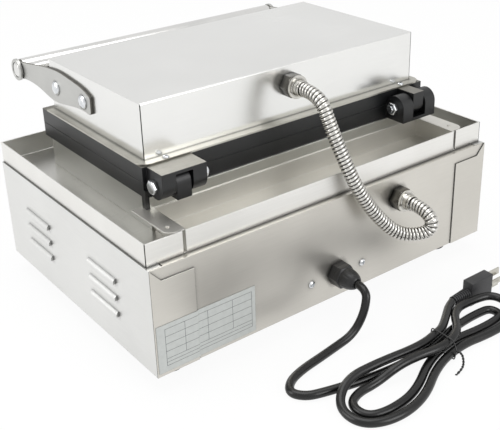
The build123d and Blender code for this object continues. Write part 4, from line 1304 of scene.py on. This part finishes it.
# Knobs: black phenolic, moulded with a fluted grip, on turned brass shafts. A dial of plain numbers is screen
# printed on the panel round each. The phenolic is glossy and the brass a warm yellow.
knob_phenolic = surface(
    "black_phenolic_moulded",
    ("#151515", "#232323"),
    patch=10,
    grain=0.4,
    relief=0.008,
    roughness=(0.22, 0.34),
    rounding=0.4,
    IOR=1.55,
)
shaft_brass = surface(
    "brass_turned",
    ("#a8874a", "#c7a765"),
    patch=6,
    grain=0.3,
    relief=0.003,
    roughness=(0.22, 0.34),
    Metallic=1.0,
)
dress(knob_phenolic, "thermostat_knob", "timer_knob")
dress(shaft_brass, "thermostat_shaft", "timer_shaft")
# The pointers are a clean white paint, and the figures a flat black ink.
pointer_paint = surface(
    "white_paint_filled", ("#e4e3de", "#f2f1ed"), patch=3, grain=0.3, relief=0.006, roughness=(0.35, 0.5)
)
panel_ink = surface(
    "black_screen_printing_ink",
    ("#0e0e0e", "#1c1c1c"),
    patch=4,
    grain=0.3,
    relief=0.003,
    roughness=(0.4, 0.55),
)
panel_y = -141.0
control_z = 66.0
ink_thick = 0.08
knob_face = -162.5
scale_radius = 21.2
figure_radius = 27.8
figure_height = 4.4
tick_width = 0.45
tick_long = 2.6
tick_short = 1.5
pointer_size = (1.9, 0.8, 11.2)
pointer_reach = 9.5
dials = [
    ("thermostat", 60.0, 45, ["0", "50", "100", "150", "200", "250", "300"]),
    ("timer", 125.0, 60, ["0", "1", "2", "3", "4", "5"]),
]


def printed(words, x, z, height):
    """Plain figures printed on the front panel, as a mesh."""
    bpy.ops.object.select_all(action="DESELECT")
    bpy.ops.object.text_add(location=(0, 0, 0))
    figure = bpy.context.object
    figure.data.body = words
    figure.data.size = height / 1000
    figure.data.align_x = "CENTER"
    figure.data.align_y = "CENTER"
    figure.data.extrude = ink_thick / 2000
    bpy.ops.object.convert(target="MESH")
    figure = bpy.context.object
    figure.location = millimetres(x, panel_y - ink_thick / 2, z)
    figure.rotation_euler = (math.pi / 2, 0, 0)
    bpy.ops.object.transform_apply(location=True, rotation=True, scale=True)
    return figure


def printed_bar(x, z, width, height, turn):
    """A printed stroke, turned about its middle."""
    return block((x, panel_y - ink_thick / 2, z), (width, ink_thick, height), (0, turn, 0))


def join_pieces(pieces):
    """Joins several meshes into the first."""
    bpy.ops.object.select_all(action="DESELECT")
    for piece in pieces:
        piece.select_set(True)
    bpy.context.view_layer.objects.active = pieces[0]
    bpy.ops.object.join()
    return pieces[0]


for name, dial_x, turn_each, figures in dials:
    marks = []
    for index, words in enumerate(figures):
        angle = math.radians(turn_each * index)
        x = dial_x + figure_radius * math.sin(angle)
        marks.append(printed(words, x, control_z + figure_radius * math.cos(angle), figure_height))
    for index in range(2 * len(figures) - 1):
        angle = math.radians(turn_each * index / 2)
        long = tick_short if index % 2 else tick_long
        reach = scale_radius + long / 2
        x = dial_x + reach * math.sin(angle)
        marks.append(printed_bar(x, control_z + reach * math.cos(angle), tick_width, long, angle))
    scale = join_pieces(marks)
    finish_piece(scale, f"{name}_scale", panel_ink)
    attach(scale, "base")

    pointer = block((dial_x, knob_face + 0.6, control_z + pointer_reach), pointer_size)
    add_bevel(pointer, 0.15, 2)
    finish_piece(pointer, f"{name}_pointer", pointer_paint)
    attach(pointer, f"{name}_knob")


# Power switch: a black nylon body in the front panel, with a red rocker of moulded polycarbonate. Two lamps
# with coloured acrylic lenses are beside it. Rocker and lenses are glossy.
rocker_plastic = surface(
    "red_polycarbonate_moulded",
    ("#a5130f", "#c81e17"),
    patch=8,
    grain=0.4,
    relief=0.004,
    roughness=(0.16, 0.26),
    rounding=0.4,
    IOR=1.58,
)
acrylic = dict(patch=4, grain=0.5, relief=0.006, roughness=(0.1, 0.18), rounding=0.3, IOR=1.49)
amber_lens = surface("amber_acrylic_moulded", ("#c76a12", "#e58a24"), **acrylic)
green_lens = surface("green_acrylic_moulded", ("#157a35", "#24974a"), **acrylic)
between_lamps = -0.049
switch_x = -125.0
mark_height = 5.0
dress(black_nylon, "power_switch")
dress(rocker_plastic, "power_rocker")
dress(amber_lens, "indicator_lamps")
dress_faces(green_lens, "indicator_lamps", lambda face: face.center.x < between_lamps)
on_mark = printed("I", switch_x, control_z + 22.0, mark_height)
off_mark = printed("O", switch_x, control_z - 22.0, mark_height)
switch_marks = join_pieces([on_mark, off_mark])
finish_piece(switch_marks, "switch_marks", panel_ink)
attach(switch_marks, "base")


# Inside: elements in their metal sheaths, the straps over them, boards of pressed mineral fibre, and the
# switchgear behind the front panel.
# The sheaths are darkened by heat, the straps dull grey, the boards chalky and the ceramic smooth and white.
element_sheath = surface(
    "nickel_alloy_sheath_heat_tinted",
    ("#4b4541", "#6d645b"),
    patch=14,
    grain=0.6,
    relief=0.01,
    roughness=(0.38, 0.52),
    Metallic=1.0,
)
strap_steel = surface(
    "aluminised_steel_pressed",
    ("#8d8f91", "#aaacad"),
    patch=12,
    grain=0.8,
    relief=0.006,
    roughness=(0.36, 0.5),
    rounding=0.5,
    Metallic=1.0,
)
fibre_board = surface(
    "mineral_fibre_board_pressed",
    ("#c9c2b2", "#ded8ca"),
    patch=7,
    grain=0.9,
    relief=0.12,
    roughness=(0.85, 0.95),
    rounding=0.6,
)
terminal_ceramic = surface(
    "steatite_pressed",
    ("#e2ddd2", "#f0ece4"),
    patch=6,
    grain=0.6,
    relief=0.01,
    roughness=(0.35, 0.5),
    rounding=0.4,
)
dress(element_sheath, "lower_element", "upper_element", "thermostat_bulb")
dress(strap_steel, "lower_element_clamp", "upper_element_clamp")
dress(fibre_board, "lower_insulation", "upper_insulation")
dress(terminal_ceramic, "terminal_block")
dress(black_nylon, "thermostat", "timer")
